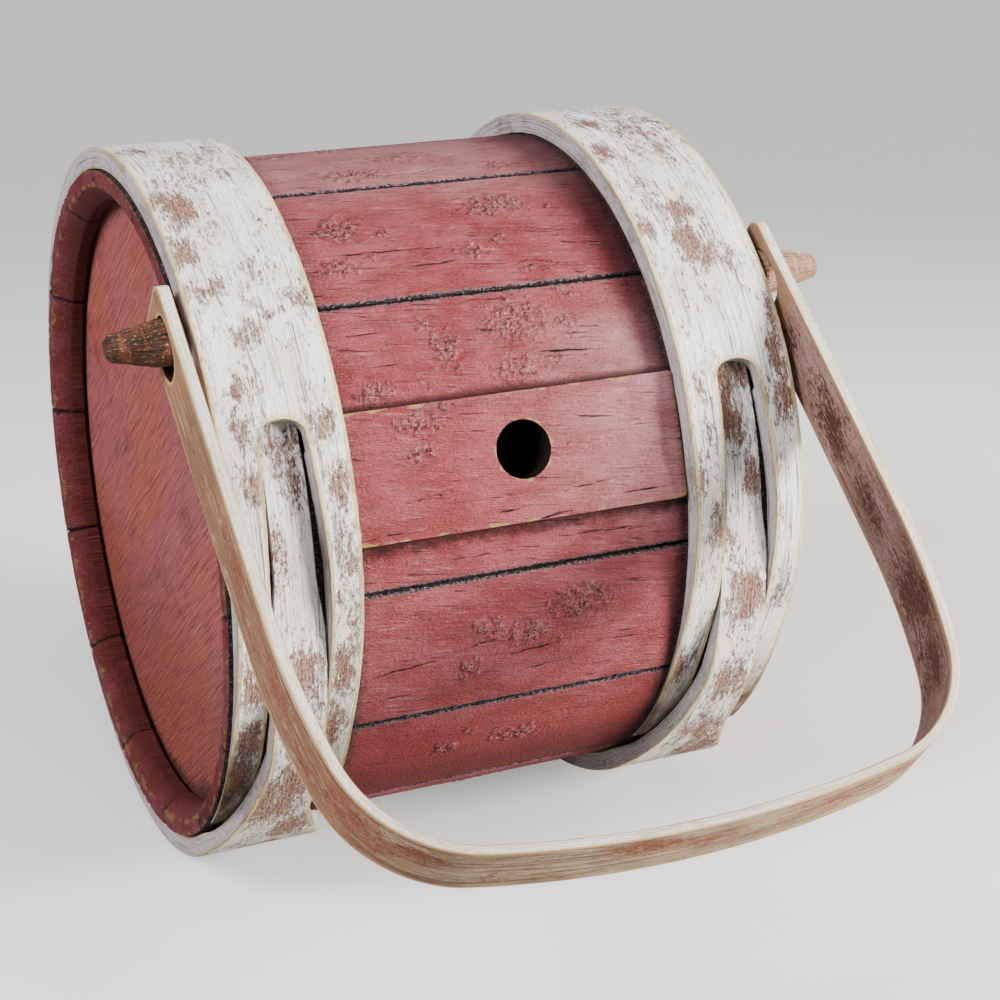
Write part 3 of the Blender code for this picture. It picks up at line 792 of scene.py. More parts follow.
def hoop_band():
    """The hoop's lath with its stations, close together round the slot's arch."""
    step = math.degrees(BAND_STEP / HOOP_OUTER)
    arch = SLOT_TAPER_END + (SLOT_TOP - SLOT_TAPER_END) * np.sin(np.linspace(0, math.pi / 2, 9))
    turns = np.concatenate([
        np.arange(PRONG_TIP, SLOT_TAPER_END - step / 2, step), arch,
        np.arange(SLOT_TOP + step, TONGUE_TIP - step / 2, step), [TONGUE_TIP],
    ])
    edges = {side: hoop_edge(turns, side) for side in (-1, 1)}
    return Band(turns, np.radians(turns) * HOOP_OUTER, edges, hoop_slot(turns))


# Worn patches on the hoops, as (turn, millimetres across, half length, half width, strength)
HOOP_PATCHES = {
    "hoop_left": [
        (89.6, -9, 4, 4, 0.8), (67, -11, 9, 5.5, 1.0), (58, -14, 6, 3.5, 0.9), (50.6, -11, 4, 4.5, 0.9),
        (48, 12, 4, 4, 0.8), (45.5, 4, 2, 2, 0.8), (43, -4, 4, 3, 0.7), (35, -10, 3.5, 2.5, 0.8),
        (29, -10, 5, 3, 0.9), (28, 10.6, 6, 4, 0.9), (59, 18, 7, 2, 0.8), (21, -10, 5, 3, 0.9),
        (20, 13.6, 5, 3, 0.9), (10, 13, 8, 4, 1.0), (16.6, -5.6, 2, 2, 0.6), (-9.6, -13, 9, 3, 0.9),
        (-21, -13, 8, 4, 1.0), (-30, -15, 9, 4, 1.0), (-9, 12, 9, 3.5, 1.0), (-21, 11, 8, 4, 1.0),
        (82, 3, 14, 12, 0.35), (52, 6, 12, 6, 0.3), (30, -6, 12, 4, 0.4), (0, 14, 14, 3, 0.5),
    ],
    "hoop_right": [
        (84, -6, 5, 5, 0.9), (73, -13, 5, 4, 0.9), (56, -1, 5, 4, 0.9), (49.7, -1.6, 8, 6, 1.0),
        (46, 7.5, 4, 3, 0.7), (38, 16, 7, 2.5, 0.8), (23, 13.5, 6, 4, 0.9), (25, -12, 5, 3, 0.6),
        (12.5, -16, 5, 2.5, 0.8), (5, -11, 9, 3, 0.75), (53, -14, 4, 3, 0.8), (-23, -16, 9, 4, 1.0),
        (-9, 13, 7, 3, 0.7), (78, 4, 20, 12, 0.45), (62, -8, 14, 8, 0.35), (45, -8, 10, 6, 0.3),
        (30, 14, 9, 3, 0.8), (20, -13, 9, 3, 0.5),
    ],
}
# The same on the strap that rises to the slot and on the shoulders, with turns as they look from the front
STRAP_PATCHES = {
    "hoop_left": [
        (26, 0, 6, 6, 0.75), (20, 2, 6, 3, 0.7), (10, -4, 8, 2.5, 0.5), (-8.5, 1.4, 9, 5, 1.0),
        (-18, 0, 8, 5, 0.8), (-33, -3, 13, 10, 1.0), (-45, 4, 10, 8, 0.9), (-60, 0, 14, 10, 0.7),
    ],
    "hoop_right": [
        (27, 0, 7, 7, 0.95), (20, -2, 9, 4, 0.85), (12, 3, 9, 3, 0.7), (2, -4, 9, 3, 0.6), (-9, 1, 9, 5, 1.0),
        (-26, 0.4, 9, 6, 0.9), (-26, 12, 6, 4, 0.9), (-40, 0, 9, 8, 0.8), (-49, 6, 12, 8, 0.9),
    ],
}
HOOP_STRAY_PATCHES = 26
# How much longer and wider the listed patches are laid, because noise eats into them
LONGER = 1.3
WIDER = 1.25


def hoop_marks(node, seed):
    """A hoop's patches in metres along its lath: those listed for the front, and stray ones for the rest."""
    marks = []
    for listed, turned in ((HOOP_PATCHES, 0), (STRAP_PATCHES, 360)):
        for turn, side, length, width, strength in listed[node]:
            place = math.radians(turn + turned) * HOOP_OUTER
            size = (LONGER * length / 1000, WIDER * width / 1000)
            marks.append((place, side / 1000, *size, strength))
    pick = np.random.default_rng(seed)
    for _ in range(HOOP_STRAY_PATCHES):
        place = math.radians(pick.uniform(98, 300)) * HOOP_OUTER
        side = pick.uniform(-1, 1) * HOOP_WIDTH / 2
        size = (pick.uniform(0.003, 0.010), pick.uniform(0.002, 0.005))
        marks.append((place, side, *size, pick.uniform(0.6, 1.0)))
    return marks


def hoop_piece(node, material, seed):
    """A hoop: one lath bent round the barrel, its tongue passed through its own slot."""
    middle = -HOOP_MIDDLE if node == "hoop_left" else HOOP_MIDDLE
    marks = hoop_marks(node, seed)

    def wear(along, across, height, kind, arris):
        warp = ripple(0.0040, across, along, 0.004, 0.007, seed + 7)
        bare = soft_patches(across + warp, along + 2.5 * warp, marks)
        bare = bare * (0.45 + 1.1 * layered(across / 0.005, along / 0.012, seed + 1))
        turn = np.degrees(along / HOOP_OUTER)
        soil = smooth(turn, -16, -40) * (0.5 + layered(across / 0.004, along / 0.008, seed + 9))
        swell = ripple(0.00030, across, along, 0.014, 0.030, seed + 2)
        flaked = smooth(bare + ripple(1.0, across, along, 0.0016, 0.0035, seed + 4), 0.35, 0.65)
        relief = swell - 0.00009 * fibres(across, along, seed + 3) - 0.00010 * flaked
        layers = {
            "bare": bare, "side": kind == 0, "soil": np.clip(soil, 0.0, 1.0),
            "damp": smooth(-np.sin(np.radians(turn)), 0.1, 0.9),
            "edge": arris + 0.003 * smooth(turn, 342, 352),
        }
        return np.where(kind == 0, 0.5 * relief, relief), layers

    def place(turn, across, radius):
        return round_barrel(turn, radius, middle + across)

    return band_piece(
        node, hoop_band(), place, hoop_bounds, wear, material, "barrel",
        columns=(24, 7), walls=(0.06, 0.16, 0.34, 0.66, 0.84, 0.94), rounding=HOOP_ROUNDING,
    )


# Bail


def bail_course():
    """The bail's middle line from end to end, as rows of length along, x, drop and lean, and its depth."""
    half_span = SHELL_END + BAIL_SIDE_GAP + BAIL_THICKNESS / 2
    corner = BAIL_END_ROUND * (1 - np.cos(np.linspace(0, math.pi / 2, 7)))
    eye_low = -EYE_RADIUS * np.cos(np.linspace(0, math.pi / 2, 10))
    eye_high = EYE_SLACK + EYE_RADIUS * np.sin(np.linspace(0, math.pi / 2, 10))
    drops = np.concatenate([
        -BAIL_END + corner,
        [(-BAIL_END + BAIL_END_ROUND - EYE_RADIUS) / 2],
        eye_low, [EYE_SLACK / 3, 2 * EYE_SLACK / 3], eye_high,
        np.arange(EYE_SLACK + EYE_RADIUS + BAND_STEP, BAIL_STRAIGHT, BAND_STEP),
    ])
    points = [(drop, half_span, drop, 0.0) for drop in drops]
    at_along, at_x, at_drop, at_lean = BAIL_STRAIGHT, half_span, BAIL_STRAIGHT, 0.0
    bends = (
        (BAIL_LEAN_RADIUS, math.radians(BAIL_LEAN)), (BAIL_CORNER_RADIUS, math.radians(BAIL_CORNER_END)),
        (None, math.pi / 2),
    )
    for radius, stop in bends:
        radius = radius or at_x / math.cos(at_lean)
        count = math.ceil(radius * (stop - at_lean) / BAND_STEP)
        for angle in np.linspace(at_lean, stop, count, endpoint=False):
            x = at_x - radius * (math.cos(at_lean) - math.cos(angle))
            drop = at_drop + radius * (math.sin(angle) - math.sin(at_lean))
            points.append((at_along + radius * (angle - at_lean), x, drop, angle))
        at_x -= radius * (math.cos(at_lean) - math.cos(stop))
        at_drop += radius * (math.sin(stop) - math.sin(at_lean))
        at_along += radius * (stop - at_lean)
        at_lean = stop
    left = np.array(points).T
    right = left[:, ::-1].copy()
    right[0] = 2 * at_along - right[0]
    right[3] = math.pi - right[3]
    left[1] = -left[1]
    middle = np.array([[at_along], [0.0], [at_drop], [math.pi / 2]])
    return np.hstack([left, middle, right]), at_drop


COURSE, BAIL_DEPTH = bail_course()


def end_width(half, corner, from_end):
    """A lath's half width near its end, where its two corners are rounded."""
    return half - corner + np.sqrt(np.maximum(0.0, corner**2 - (corner - from_end) ** 2))


def hole_width(radius, reach):
    """The half width of a round hole at each reach from its middle, and nothing beyond it."""
    half = np.sqrt(np.maximum(0.0, radius**2 - reach**2))
    return np.where(half < 0.00001, 0.0, half)


def bail_band():
    """The bail's lath, with an eye like a short slot in each end."""
    along, _, drop, _ = COURSE
    half = end_width(BAIL_WIDTH / 2, BAIL_END_ROUND, np.clip(drop + BAIL_END, 0.0, BAIL_END_ROUND))
    reach = np.where(drop < 0, drop, np.where(drop > EYE_SLACK, drop - EYE_SLACK, 0.0))
    slot = hole_width(EYE_RADIUS, reach)
    return Band(np.arange(len(along), dtype=float), along, {-1: -half, 1: half}, slot)


def bail_bounds(station, across):
    """Half the bail's thickness on either side of its middle line."""
    drop = np.interp(station, np.arange(COURSE.shape[1]), COURSE[2])
    half = between(drop, BAIL_STRAIGHT, BAIL_DEPTH, BAIL_THICKNESS, BAIL_GRIP_THICKNESS) / 2
    return -half, half


def bail_place(station, across, out):
    """Places on the bail as it hangs on the pegs at rest."""
    _, x, drop, lean = COURSE[:, np.round(station).astype(int)]
    height = -drop - out * np.sin(lean)
    swing = math.radians(BAIL_REST)
    return np.stack([
        x - out * np.cos(lean),
        PIVOT_Y + across * math.cos(swing) - height * math.sin(swing),
        PIVOT_Z + across * math.sin(swing) + height * math.cos(swing),
    ], axis=-1)


# Worn patches on the bail's faces, as (metres along, millimetres across, half length, half width, strength)
BAIL_OUTSIDE_PATCHES = [
    (0.040, 3, 16, 4, 0.5), (0.066, -3, 14, 4, 0.6), (0.085, 2, 16, 5, 0.75), (0.105, -2, 14, 5, 0.8),
    (0.123, 3, 10, 4, 0.95), (0.142, -1, 16, 7, 1.0), (0.156, -4, 9, 3, 0.9), (0.180, 4, 12, 3, 0.35),
    (0.214, -4, 12, 3.5, 1.0), (0.231, 0, 6, 3, 0.85), (0.255, 2, 8, 2.5, 0.7), (0.273, -1, 13, 4, 0.95),
    (0.290, -3, 8, 3, 0.9), (0.320, 0, 14, 6, 0.7), (0.360, 2, 16, 5, 0.7), (0.405, -2, 14, 5, 0.8),
]
BAIL_INSIDE_PATCHES = [
    (0.405, 0, 15, 8, 1.0), (0.378, 1, 12, 6, 0.9), (0.350, -1, 17, 9, 1.0), (0.328, 1, 14, 8, 1.0),
    (0.290, 0, 14, 5, 0.6), (0.230, 0, 22, 5, 0.7), (0.160, 2, 14, 6, 0.8), (0.110, 0, 14, 7, 0.9),
    (0.060, -2, 14, 7, 0.9), (0.435, 0, 8, 8, 0.7), (0.028, 0, 8, 8, 0.7),
]


def bail_patches(across, along, listed):
    marks = [(a, b / 1000, c / 1000, d / 1000, strength) for a, b, c, d, strength in listed]
    return soft_patches(across, along, marks)


def bail_piece(material, seed):
    """The bail: one bent lath that hangs on the pegs by its eyes."""
    whole = COURSE[0][-1] + COURSE[0][0]

    def wear(along, across, height, kind, arris):
        outside = bail_patches(across, along, BAIL_OUTSIDE_PATCHES)
        inside = bail_patches(across, along, BAIL_INSIDE_PATCHES)
        bare = np.where(kind > 0, outside, np.where(kind < 0, inside, 0.25 * outside))
        bare = bare * (0.55 + 0.9 * layered(across / 0.005, along / 0.010, seed + 1))
        from_eye = np.minimum(along, whole - along)
        past_eye = np.maximum(from_eye - EYE_SLACK - 0.006, 0.0) + np.minimum(from_eye, 0.0)
        ragged = ripple(0.006, across, along, 0.004, 0.008, seed)
        swell = ripple(0.00012, across, along, 0.006, 0.020, seed + 2)
        flaked = smooth(bare + ripple(1.0, across, along, 0.0014, 0.0035, seed + 4), 0.35, 0.65)
        from_middle = np.abs(along - whole / 2)
        layers = {
            "bare": bare, "eye": smooth(np.hypot(past_eye, across) + ragged, 0.014, 0.006),
            "inside": kind < 0, "side": kind == 0,
            # arm: arms browner and darker than the grip, partly wear and partly painted shade; low: painted
            # shade towards the grip
            "arm": smooth(from_middle, 0.055, 0.095), "low": smooth(from_middle, 0.185, 0.130),
        }
        return swell - 0.00007 * fibres(across, along, seed + 3) - 0.00006 * flaked, layers

    return band_piece(
        "bail", bail_band(), bail_place, bail_bounds, wear, material, "bail",
        columns=(16, 16), walls=(0.12, 0.3, 0.7, 0.88), rounding=BAIL_ROUNDING,
    )


# Board


def board_band(half_length, half_width):
    """The board's lath, with the bung hole and four rounded corners."""
    corner = BOARD_CORNER
    centre = math.sin(math.radians(BUNG_ANGLE - BOARD_ANGLE)) * BOARD_TOP
    round_end = corner * (1 - np.cos(np.linspace(0, math.pi / 2, 6)))
    hole = BUNG_OFFSET + BUNG_RADIUS * -np.cos(np.linspace(0, math.pi, 37))
    stations = np.concatenate([
        -half_length + round_end,
        np.arange(-half_length + corner + STAVE_STEP, hole[0] - STAVE_STEP / 2, STAVE_STEP), hole,
        np.arange(hole[-1] + STAVE_STEP, half_length - corner - STAVE_STEP / 2, STAVE_STEP),
        half_length - round_end[::-1],
    ])
    width = end_width(half_width, corner, np.clip(half_length - np.abs(stations), 0.0, corner))
    slot = hole_width(BUNG_RADIUS, stations - BUNG_OFFSET)
    return Band(stations, stations, {-1: -width, 1: width}, slot, centre)


def board_piece(material, seed):
    """The raised board with the bung hole, hollowed underneath to sit on the shell."""
    low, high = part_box("bung_board")
    half_length = (high.x - low.x) / 2
    seat = SHELL_RADIUS + FIT_GAP
    patches = patches_in_metres(FRONT_PATCHES["bung_board"])
    cracks = cracks_in_metres(FRONT_CRACKS["bung_board"])
    turn = math.radians(BOARD_ANGLE)

    def bounds(station, across):
        return np.sqrt(seat**2 - across**2), np.full(across.shape, BOARD_TOP)

    def place(station, across, out):
        return np.stack([
            station,
            AXIS_Y - out * math.cos(turn) + across * math.sin(turn),
            AXIS_Z + out * math.sin(turn) + across * math.cos(turn),
        ], axis=-1)

    def wear(along, across, height, kind, arris):
        top = kind > 0
        side = kind == 0
        arc = across + turn * SHELL_RADIUS
        crumble = patch_mask(arc, along, patches, seed) * top
        crack = crack_mask(arc, along, cracks, seed, 0.0010) * top
        crumb = crumbs(across, along, seed)
        relief = paint_relief(across, along, seed, crumble, crumb, crack, BOARD_RELIEF)
        layers = {
            "crack": crack, "crumble": crumble, "relief": crumb, "endwood": side,
            "edge": 0 * along + NO_EDGE, "fade": 0 * along + 1.0,
            # Painted shade over the lower part of the board's walls, the bung hole's wall among them
            "grime": np.where(side, 0.6 * (height < 0.7), 0.0),
            # Painted shade on the board's top at its right end, beside the hoop
            "shade": np.where(top, 0.7 * smooth(half_length - along, 0.0035, -0.0010), 0.0),
            "chalk": shell_chalk_and_sheen(along, BOARD_ANGLE + 0 * along),
            "rim": np.where(top, arris, np.where(side, (1 - height) * 0.005, NO_LIP)),
        }
        return relief, layers

    return band_piece(
        "bung_board", board_band(half_length, BOARD_WIDTH / 2), place, bounds, wear, material,
        "barrel", columns=(36, 6), walls=(0.08, 0.2, 0.5, 0.8), rounding=BOARD_ROUNDING,
    )


# Heads and pegs


def head_disc(face_radius, seed):
    """A head's worn face as a square grid pressed into a disc: its points, its quads and its border."""
    steps = np.linspace(-1, 1, HEAD_CELLS + 1)
    u, v = np.meshgrid(steps, steps)
    across = face_radius * u * np.sqrt(1 - v**2 / 2)
    up = face_radius * v * np.sqrt(1 - u**2 / 2)
    swell = ripple(0.00045, across, up, 0.030, 0.030, seed)
    lines = ripple(0.00018, across - up, across + up, 0.0035, 0.020, seed + 1)
    rim = smooth(np.hypot(across, up), face_radius - 0.003, face_radius)
    sink = swell + lines - HEAD_INSET - 0.0006 * rim
    grid = np.arange(u.size).reshape(u.shape)
    quads = np.stack([grid[:-1, :-1], grid[:-1, 1:], grid[1:, 1:], grid[1:, :-1]], axis=-1)
    border = np.concatenate([grid[0, :-1], grid[:-1, -1], grid[-1, :0:-1], grid[:0:-1, 0]])
    return np.stack([across, up, sink], axis=-1).reshape(-1, 3), quads.reshape(-1, 4).tolist(), border


def head_piece(node, material, seed):
    """A head: a disc worn in fine lines, let into the staves by its rim."""
    side = -1 if node == "head_left" else 1
    face_radius = SHELL_INNER - FIT_GAP
    disc, faces, previous = head_disc(face_radius, seed)
    edge = disc[previous, :2]
    direction = edge / np.linalg.norm(edge, axis=1)[:, None]
    rim = SHELL_INNER + CROZE_DEPTH - FIT_GAP
    rings = (
        (rim, -0.0015), (rim, -HEAD_RIM), (face_radius, -HEAD_RIM), (face_radius - 0.004, -HEAD_THICKNESS),
    )
    places = [disc]
    total = len(disc)
    for radius, depth in rings:
        places.append(np.column_stack([direction * radius, np.full(len(edge), depth)]))
        current = total + np.arange(len(edge))
        total += len(edge)
        ring = [previous, np.roll(previous, -1), np.roll(current, -1), current]
        faces += np.stack(ring, axis=-1).tolist()
        previous = current
    faces.append(previous.tolist())
    across, up, out = np.concatenate(places).T
    low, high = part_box(node)
    face_x = low.x if side < 0 else high.x
    world = np.column_stack([face_x + side * out, AXIS_Y + side * across, AXIS_Z + up])
    layers = {
        "grain": np.column_stack([across, up, np.full(total, 0.31 * side)]),
        "rim": face_radius - np.hypot(across, up),
        "low": smooth(up, 0.005, -0.070),
    }
    return new_piece(node, world, faces, layers, material, "barrel")


def whittled(out, turn, seed):
    """How far a peg's flats cut into its round, as a share of its radius: none at its base."""
    corner = 2 * math.pi / PEG_FLATS
    reaches = 1.0 - 0.07 * np.random.default_rng(seed).random(PEG_FLATS)
    flat = np.floor(turn / corner + SAME_PLACE).astype(int)
    first = reaches[flat % PEG_FLATS]
    last = reaches[(flat + 1) % PEG_FLATS]
    within = turn - flat * corner
    cut = first * last * math.sin(corner) / (first * np.sin(within) + last * np.sin(corner - within))
    return 1 + (1.03 * cut - 1) * smooth(out, 0.002, 0.007)


def peg_piece(node, material, seed):
    """A whittled peg: flats along its sides, a worn tip, and its base against the stave's end."""
    low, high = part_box(node)
    side = -1 if node == "peg_left" else 1
    base_x = (low.x if side < 0 else high.x) - side * PEG_LENGTH
    tip = PEG_LENGTH - PEG_TIP_ROUND
    rounded = PEG_LENGTH - PEG_TIP_ROUND * (1 - np.linspace(0.2, 1, 5))
    outs = np.concatenate([np.linspace(0, tip, 60), rounded])
    radii = np.interp(
        outs, [0, PEG_TAPER_START, tip, PEG_LENGTH],
        [PEG_RADIUS, PEG_RADIUS, PEG_TIP_RADIUS, PEG_TIP_RADIUS - PEG_TIP_ROUND],
    )
    out, turn = np.meshgrid(outs, np.linspace(0, 2 * math.pi, PEG_SIDES, endpoint=False), indexing="ij")
    chips = smooth(layered(turn * 3, out / 0.003, seed + 2), 0.5, 0.8)
    radius = np.broadcast_to(radii[:, None], out.shape) * whittled(out, turn, seed)
    radius = radius - 0.0002 * chips - 0.00008 * layered(turn * 8, out / 0.006, seed + 3)
    places = np.stack([
        base_x + side * out, PIVOT_Y + radius * np.cos(turn), PIVOT_Z + radius * np.sin(turn),
    ], axis=-1)
    layers = {"grain": np.stack([out, turn * 0.006, 0 * out + 0.2 * side], axis=-1), "chips": chips}
    return new_piece(node, places, ring_faces(*out.shape), layers, material, "barrel", 35)


# Materials


class Graph:
    """A material's node graph; its methods add nodes and give back their output."""

    def __init__(self, name):
        self.material = bpy.data.materials.new(name)
        self.material.use_nodes = True
        self.tree = self.material.node_tree
        self.tree.nodes.clear()
        self.surface = self.tree.nodes.new("ShaderNodeBsdfPrincipled")
        output = self.tree.nodes.new("ShaderNodeOutputMaterial")
        self.tree.links.new(self.surface.outputs["BSDF"], output.inputs["Surface"])

    def put(self, socket, value):
        """Link an output to a socket, or set the socket's own value."""
        if isinstance(value, bpy.types.NodeSocket):
            self.tree.links.new(value, socket)
        elif isinstance(value, tuple) and len(value) == 3 and socket.type == "RGBA":
            socket.default_value = (*value, 1.0)
        else:
            socket.default_value = value

    def layer(self, name):
        node = self.tree.nodes.new("ShaderNodeAttribute")
        node.attribute_name = name
        return node.outputs["Vector"] if name == "grain" else node.outputs["Fac"]

    def maths(self, operation, first, second):
        node = self.tree.nodes.new("ShaderNodeMath")
        node.operation = operation
        self.put(node.inputs[0], first)
        self.put(node.inputs[1], second)
        return node.outputs["Value"]

    def times(self, first, second):
        return self.maths("MULTIPLY", first, second)

    def plus(self, total, *others):
        for other in others:
            total = self.maths("ADD", total, other)
        return total

    def ragged(self, distance, noise, width, middle=0.5):
        """A distance made ragged by a noise that lies round its middle."""
        return self.plus(distance, self.times(self.maths("SUBTRACT", noise, middle), width))

    def ramp(self, value, low, high, first=0.0, last=1.0):
        """A number that goes smoothly from first to last as the value goes from low to high."""
        node = self.tree.nodes.new("ShaderNodeMapRange")
        node.interpolation_type = "SMOOTHSTEP"
        self.put(node.inputs["Value"], value)
        for socket, number in (("From Min", low), ("From Max", high), ("To Min", first), ("To Max", last)):
            node.inputs[socket].default_value = number
        return node.outputs["Result"]

    def mapped(self, vector, socket, numbers):
        node = self.tree.nodes.new("ShaderNodeMapping")
        self.put(node.inputs["Vector"], vector)
        node.inputs[socket].default_value = numbers
        return node.outputs["Vector"]

    def tilted(self, vector, angle):
        """A place turned a little, so that fibres run slantwise."""
        return self.mapped(vector, "Rotation", (0.0, 0.0, math.radians(angle)))

    def noise(self, vector, scale, detail=3.0, rough=0.55, distortion=0.0):
        node = self.tree.nodes.new("ShaderNodeTexNoise")
        self.put(node.inputs["Vector"], vector)
        settings = (("Scale", scale), ("Detail", detail), ("Roughness", rough), ("Distortion", distortion))
        for socket, number in settings:
            node.inputs[socket].default_value = number
        return node.outputs["Fac"]

    def fibrous(self, vector, along, across, *settings):
        """Noise with so many bumps to the metre along and across the fibres."""
        return self.noise(self.mapped(vector, "Scale", (along, across, across)), 1.0, *settings)

    def mixed(self, share, first, second):
        node = self.tree.nodes.new("ShaderNodeMix")
        node.data_type = "RGBA"
        self.put(node.inputs["Factor"], share)
        self.put(node.inputs[6], first)
        self.put(node.inputs[7], second)
        return node.outputs[2]

    def coats(self, colour, *coats):
        """Coats over a colour, each (value, low, high, strength, tint): none at low, its strength at high."""
        for value, low, high, strength, tint in coats:
            colour = self.mixed(self.ramp(value, low, high, 0.0, strength), colour, tint)
        return colour

    def shaded(self, colour, share):
        """A colour made darker or lighter by a number round 1."""
        node = self.tree.nodes.new("ShaderNodeVectorMath")
        node.operation = "SCALE"
        self.put(node.inputs[0], colour)
        self.put(node.inputs["Scale"], share)
        return node.outputs["Vector"]

    def finish(self, colour, rough, height, distance, gloss, strength=1.0):
        """The material with its colour, roughness, bumps of a height in metres, and gloss."""
        bump = self.tree.nodes.new("ShaderNodeBump")
        bump.inputs["Strength"].default_value = strength
        bump.inputs["Distance"].default_value = distance
        self.put(bump.inputs["Height"], height)
        self.put(self.surface.inputs["Base Color"], colour)
        self.put(self.surface.inputs["Roughness"], rough)
        self.put(self.surface.inputs["Specular IOR Level"], gloss)
        self.put(self.surface.inputs["Normal"], bump.outputs["Normal"])
        return self.material


# Colours of paint, wash, wood, dirt and painted shade
PINK = (0.42, 0.102, 0.114)
BRICK = (0.30, 0.053, 0.056)
DEEP_RED = (0.25, 0.030, 0.025)
CHALK_PINK = (0.60, 0.31, 0.31)
BARE_TAN = (0.47, 0.29, 0.21)
OCHRE = (0.56, 0.37, 0.11)
SEAM_GREY = (0.17, 0.19, 0.22)
SOOT = (0.018, 0.013, 0.013)
DARK_WOOD = (0.085, 0.048, 0.032)
WHITEWASH = (0.89, 0.872, 0.848)
CREAM = (0.70, 0.64, 0.53)
EDGE_CREAM = (0.68, 0.52, 0.23)
SMUDGE = (0.20, 0.070, 0.068)
PIT_RED = (0.14, 0.045, 0.040)
# Painted shade in the gaps of crumbling paint
CRUMB_SHADE = (0.085, 0.022, 0.020)
HAIR_BROWN = (0.050, 0.026, 0.026)
# Painted shade inside the bung hole
BORE_SHADE = (0.010, 0.006, 0.005)
# The pegs' dark wood, middle wood, worn light wood and marks
DARK_PEG = ((0.026, 0.018, 0.018), (0.12, 0.050, 0.026), (0.21, 0.066, 0.034), (0.46, 0.36, 0.16))
PALE_PEG = ((0.19, 0.100, 0.065), (0.38, 0.210, 0.140), (0.48, 0.290, 0.200), (0.17, 0.16, 0.10))


def red_paint():
    """Faded red paint on staves: fine streaks, crumbling patches, hair cracks and chipped edges."""
    g = Graph("red_paint")
    grain = g.layer("grain")
    fade = g.layer("fade")
    crumble = g.layer("crumble")
    clumps = g.layer("relief")
    tilted = g.tilted(grain, 7.0)
    streaks = g.fibrous(tilted, 110, 900, 6.0, 0.70, 0.5)
    fine = g.fibrous(tilted, 420, 4200, 3.0, 0.6)
    clouds = g.fibrous(grain, 60, 90, 4.0, 0.6)
    specks = g.fibrous(grain, 900, 1500, 3.0, 0.65)
    hairs = g.fibrous(tilted, 75, 1500, 2.0, 0.55, 0.8)
    smudges = g.fibrous(tilted, 30, 240, 5.0, 0.65, 0.5)
    crumbs_seen = g.noise(grain, 1500.0, 2.0, 0.6, 0.6)
    colour = g.coats(
        BRICK, (clouds, 0.34, 0.66, 1.0, PINK), (smudges, 0.54, 0.66, 0.45, SMUDGE),
        (fade, 0.22, 0.0, 0.80, DEEP_RED),
    )
    # Chalky paint and painted sheen on the upper front, painted sheen along the top
    colour = g.mixed(g.times(g.layer("chalk"), g.ramp(clouds, 0.25, 0.65, 0.35, 0.75)), colour, CHALK_PINK)
    chalky = g.times(g.ramp(streaks, 0.54, 0.74, 0.0, 0.60), g.ramp(fade, 0.0, 0.20, 0.10, 1.0))
    colour = g.coats(g.mixed(chalky, colour, CHALK_PINK), (streaks, 0.46, 0.28, 0.60, DEEP_RED))
    flecks = g.times(g.ramp(specks, 0.60, 0.72), g.ramp(fade, 0.0, 0.15, 0.15, 0.5))
    colour = g.coats(g.mixed(flecks, colour, CHALK_PINK), (specks, 0.38, 0.26, 0.6, PIT_RED))
    colour = g.shaded(colour, g.ramp(fine, 0.25, 0.75, 0.80, 1.20))
    # Painted shade: the lowest front staves darkened
    colour = g.shaded(colour, g.ramp(fade, 0.0, 0.06, 0.62, 1.0))
    # Crumbling paint: painted highlights on the clumps' tops and painted shade in the gaps between them
    lit_and_shaded_crust = g.coats(
        colour, (clumps, 0.00, 0.35, 0.55, CHALK_PINK), (clumps, 0.08, -0.25, 0.85, CRUMB_SHADE),
        (crumbs_seen, 0.48, 0.39, 0.85, CRUMB_SHADE),
    )
    colour = g.mixed(g.times(crumble, 0.95), colour, lit_and_shaded_crust)
    dark_hairs = g.times(g.ramp(hairs, 0.635, 0.68), g.ramp(clouds, 0.40, 0.55, 0.25, 0.9))
    frayed = g.ragged(g.layer("edge"), specks, 0.004)
    chipped = g.ragged(g.layer("rim"), g.fibrous(grain, 160, 300), 0.008, 0.46)
    bare = g.coats(OCHRE, (specks, 0.45, 0.65, 1.0, BARE_TAN))
    colour = g.coats(
        g.mixed(dark_hairs, colour, HAIR_BROWN),
        (frayed, 0.0014, 0.0005, 0.80, SEAM_GREY), (frayed, 0.0010, 0.0003, 1.0, SOOT),
        (chipped, 0.0008, 0.0001, 0.85, bare),
    )
    end_tint = g.coats((0.060, 0.012, 0.009), (streaks, 0.35, 0.65, 1.0, (0.15, 0.030, 0.022)))
    colour = g.mixed(g.times(g.layer("endwood"), 0.9), colour, end_tint)
    # Grime, and painted shade under and beside the hoops and on the lower part of the board's walls
    grime_and_shade_tint = g.coats(SOOT, (specks, 0.50, 0.66, 1.0, SEAM_GREY))
    colour = g.mixed(g.times(g.layer("grime"), 0.92), colour, grime_and_shade_tint)
    colour = g.coats(colour, (g.layer("crack"), 0.62, 0.76, 1.0, SOOT))
    # Painted shade: the right hoop's shadow on the staves, the shade along the board's edges and at its right
    # end
    colour = g.shaded(colour, g.ramp(g.layer("shade"), 0.0, 1.0, 1.0, 0.12))
    # Painted shade on the walls of the bung hole
    colour = g.mixed(g.layer("bore"), colour, BORE_SHADE)
    height = g.plus(
        g.times(fine, 0.35), g.times(streaks, 0.65), g.times(dark_hairs, -0.5),
        g.times(specks, g.ramp(crumble, 0.0, 1.0, 0.75, 1.1)),
        g.times(g.ramp(crumbs_seen, 0.38, 0.52), crumble),
    )
    return g.finish(colour, g.ramp(streaks, 0.3, 0.7, 0.55, 0.78), height, 0.0036, 0.13)


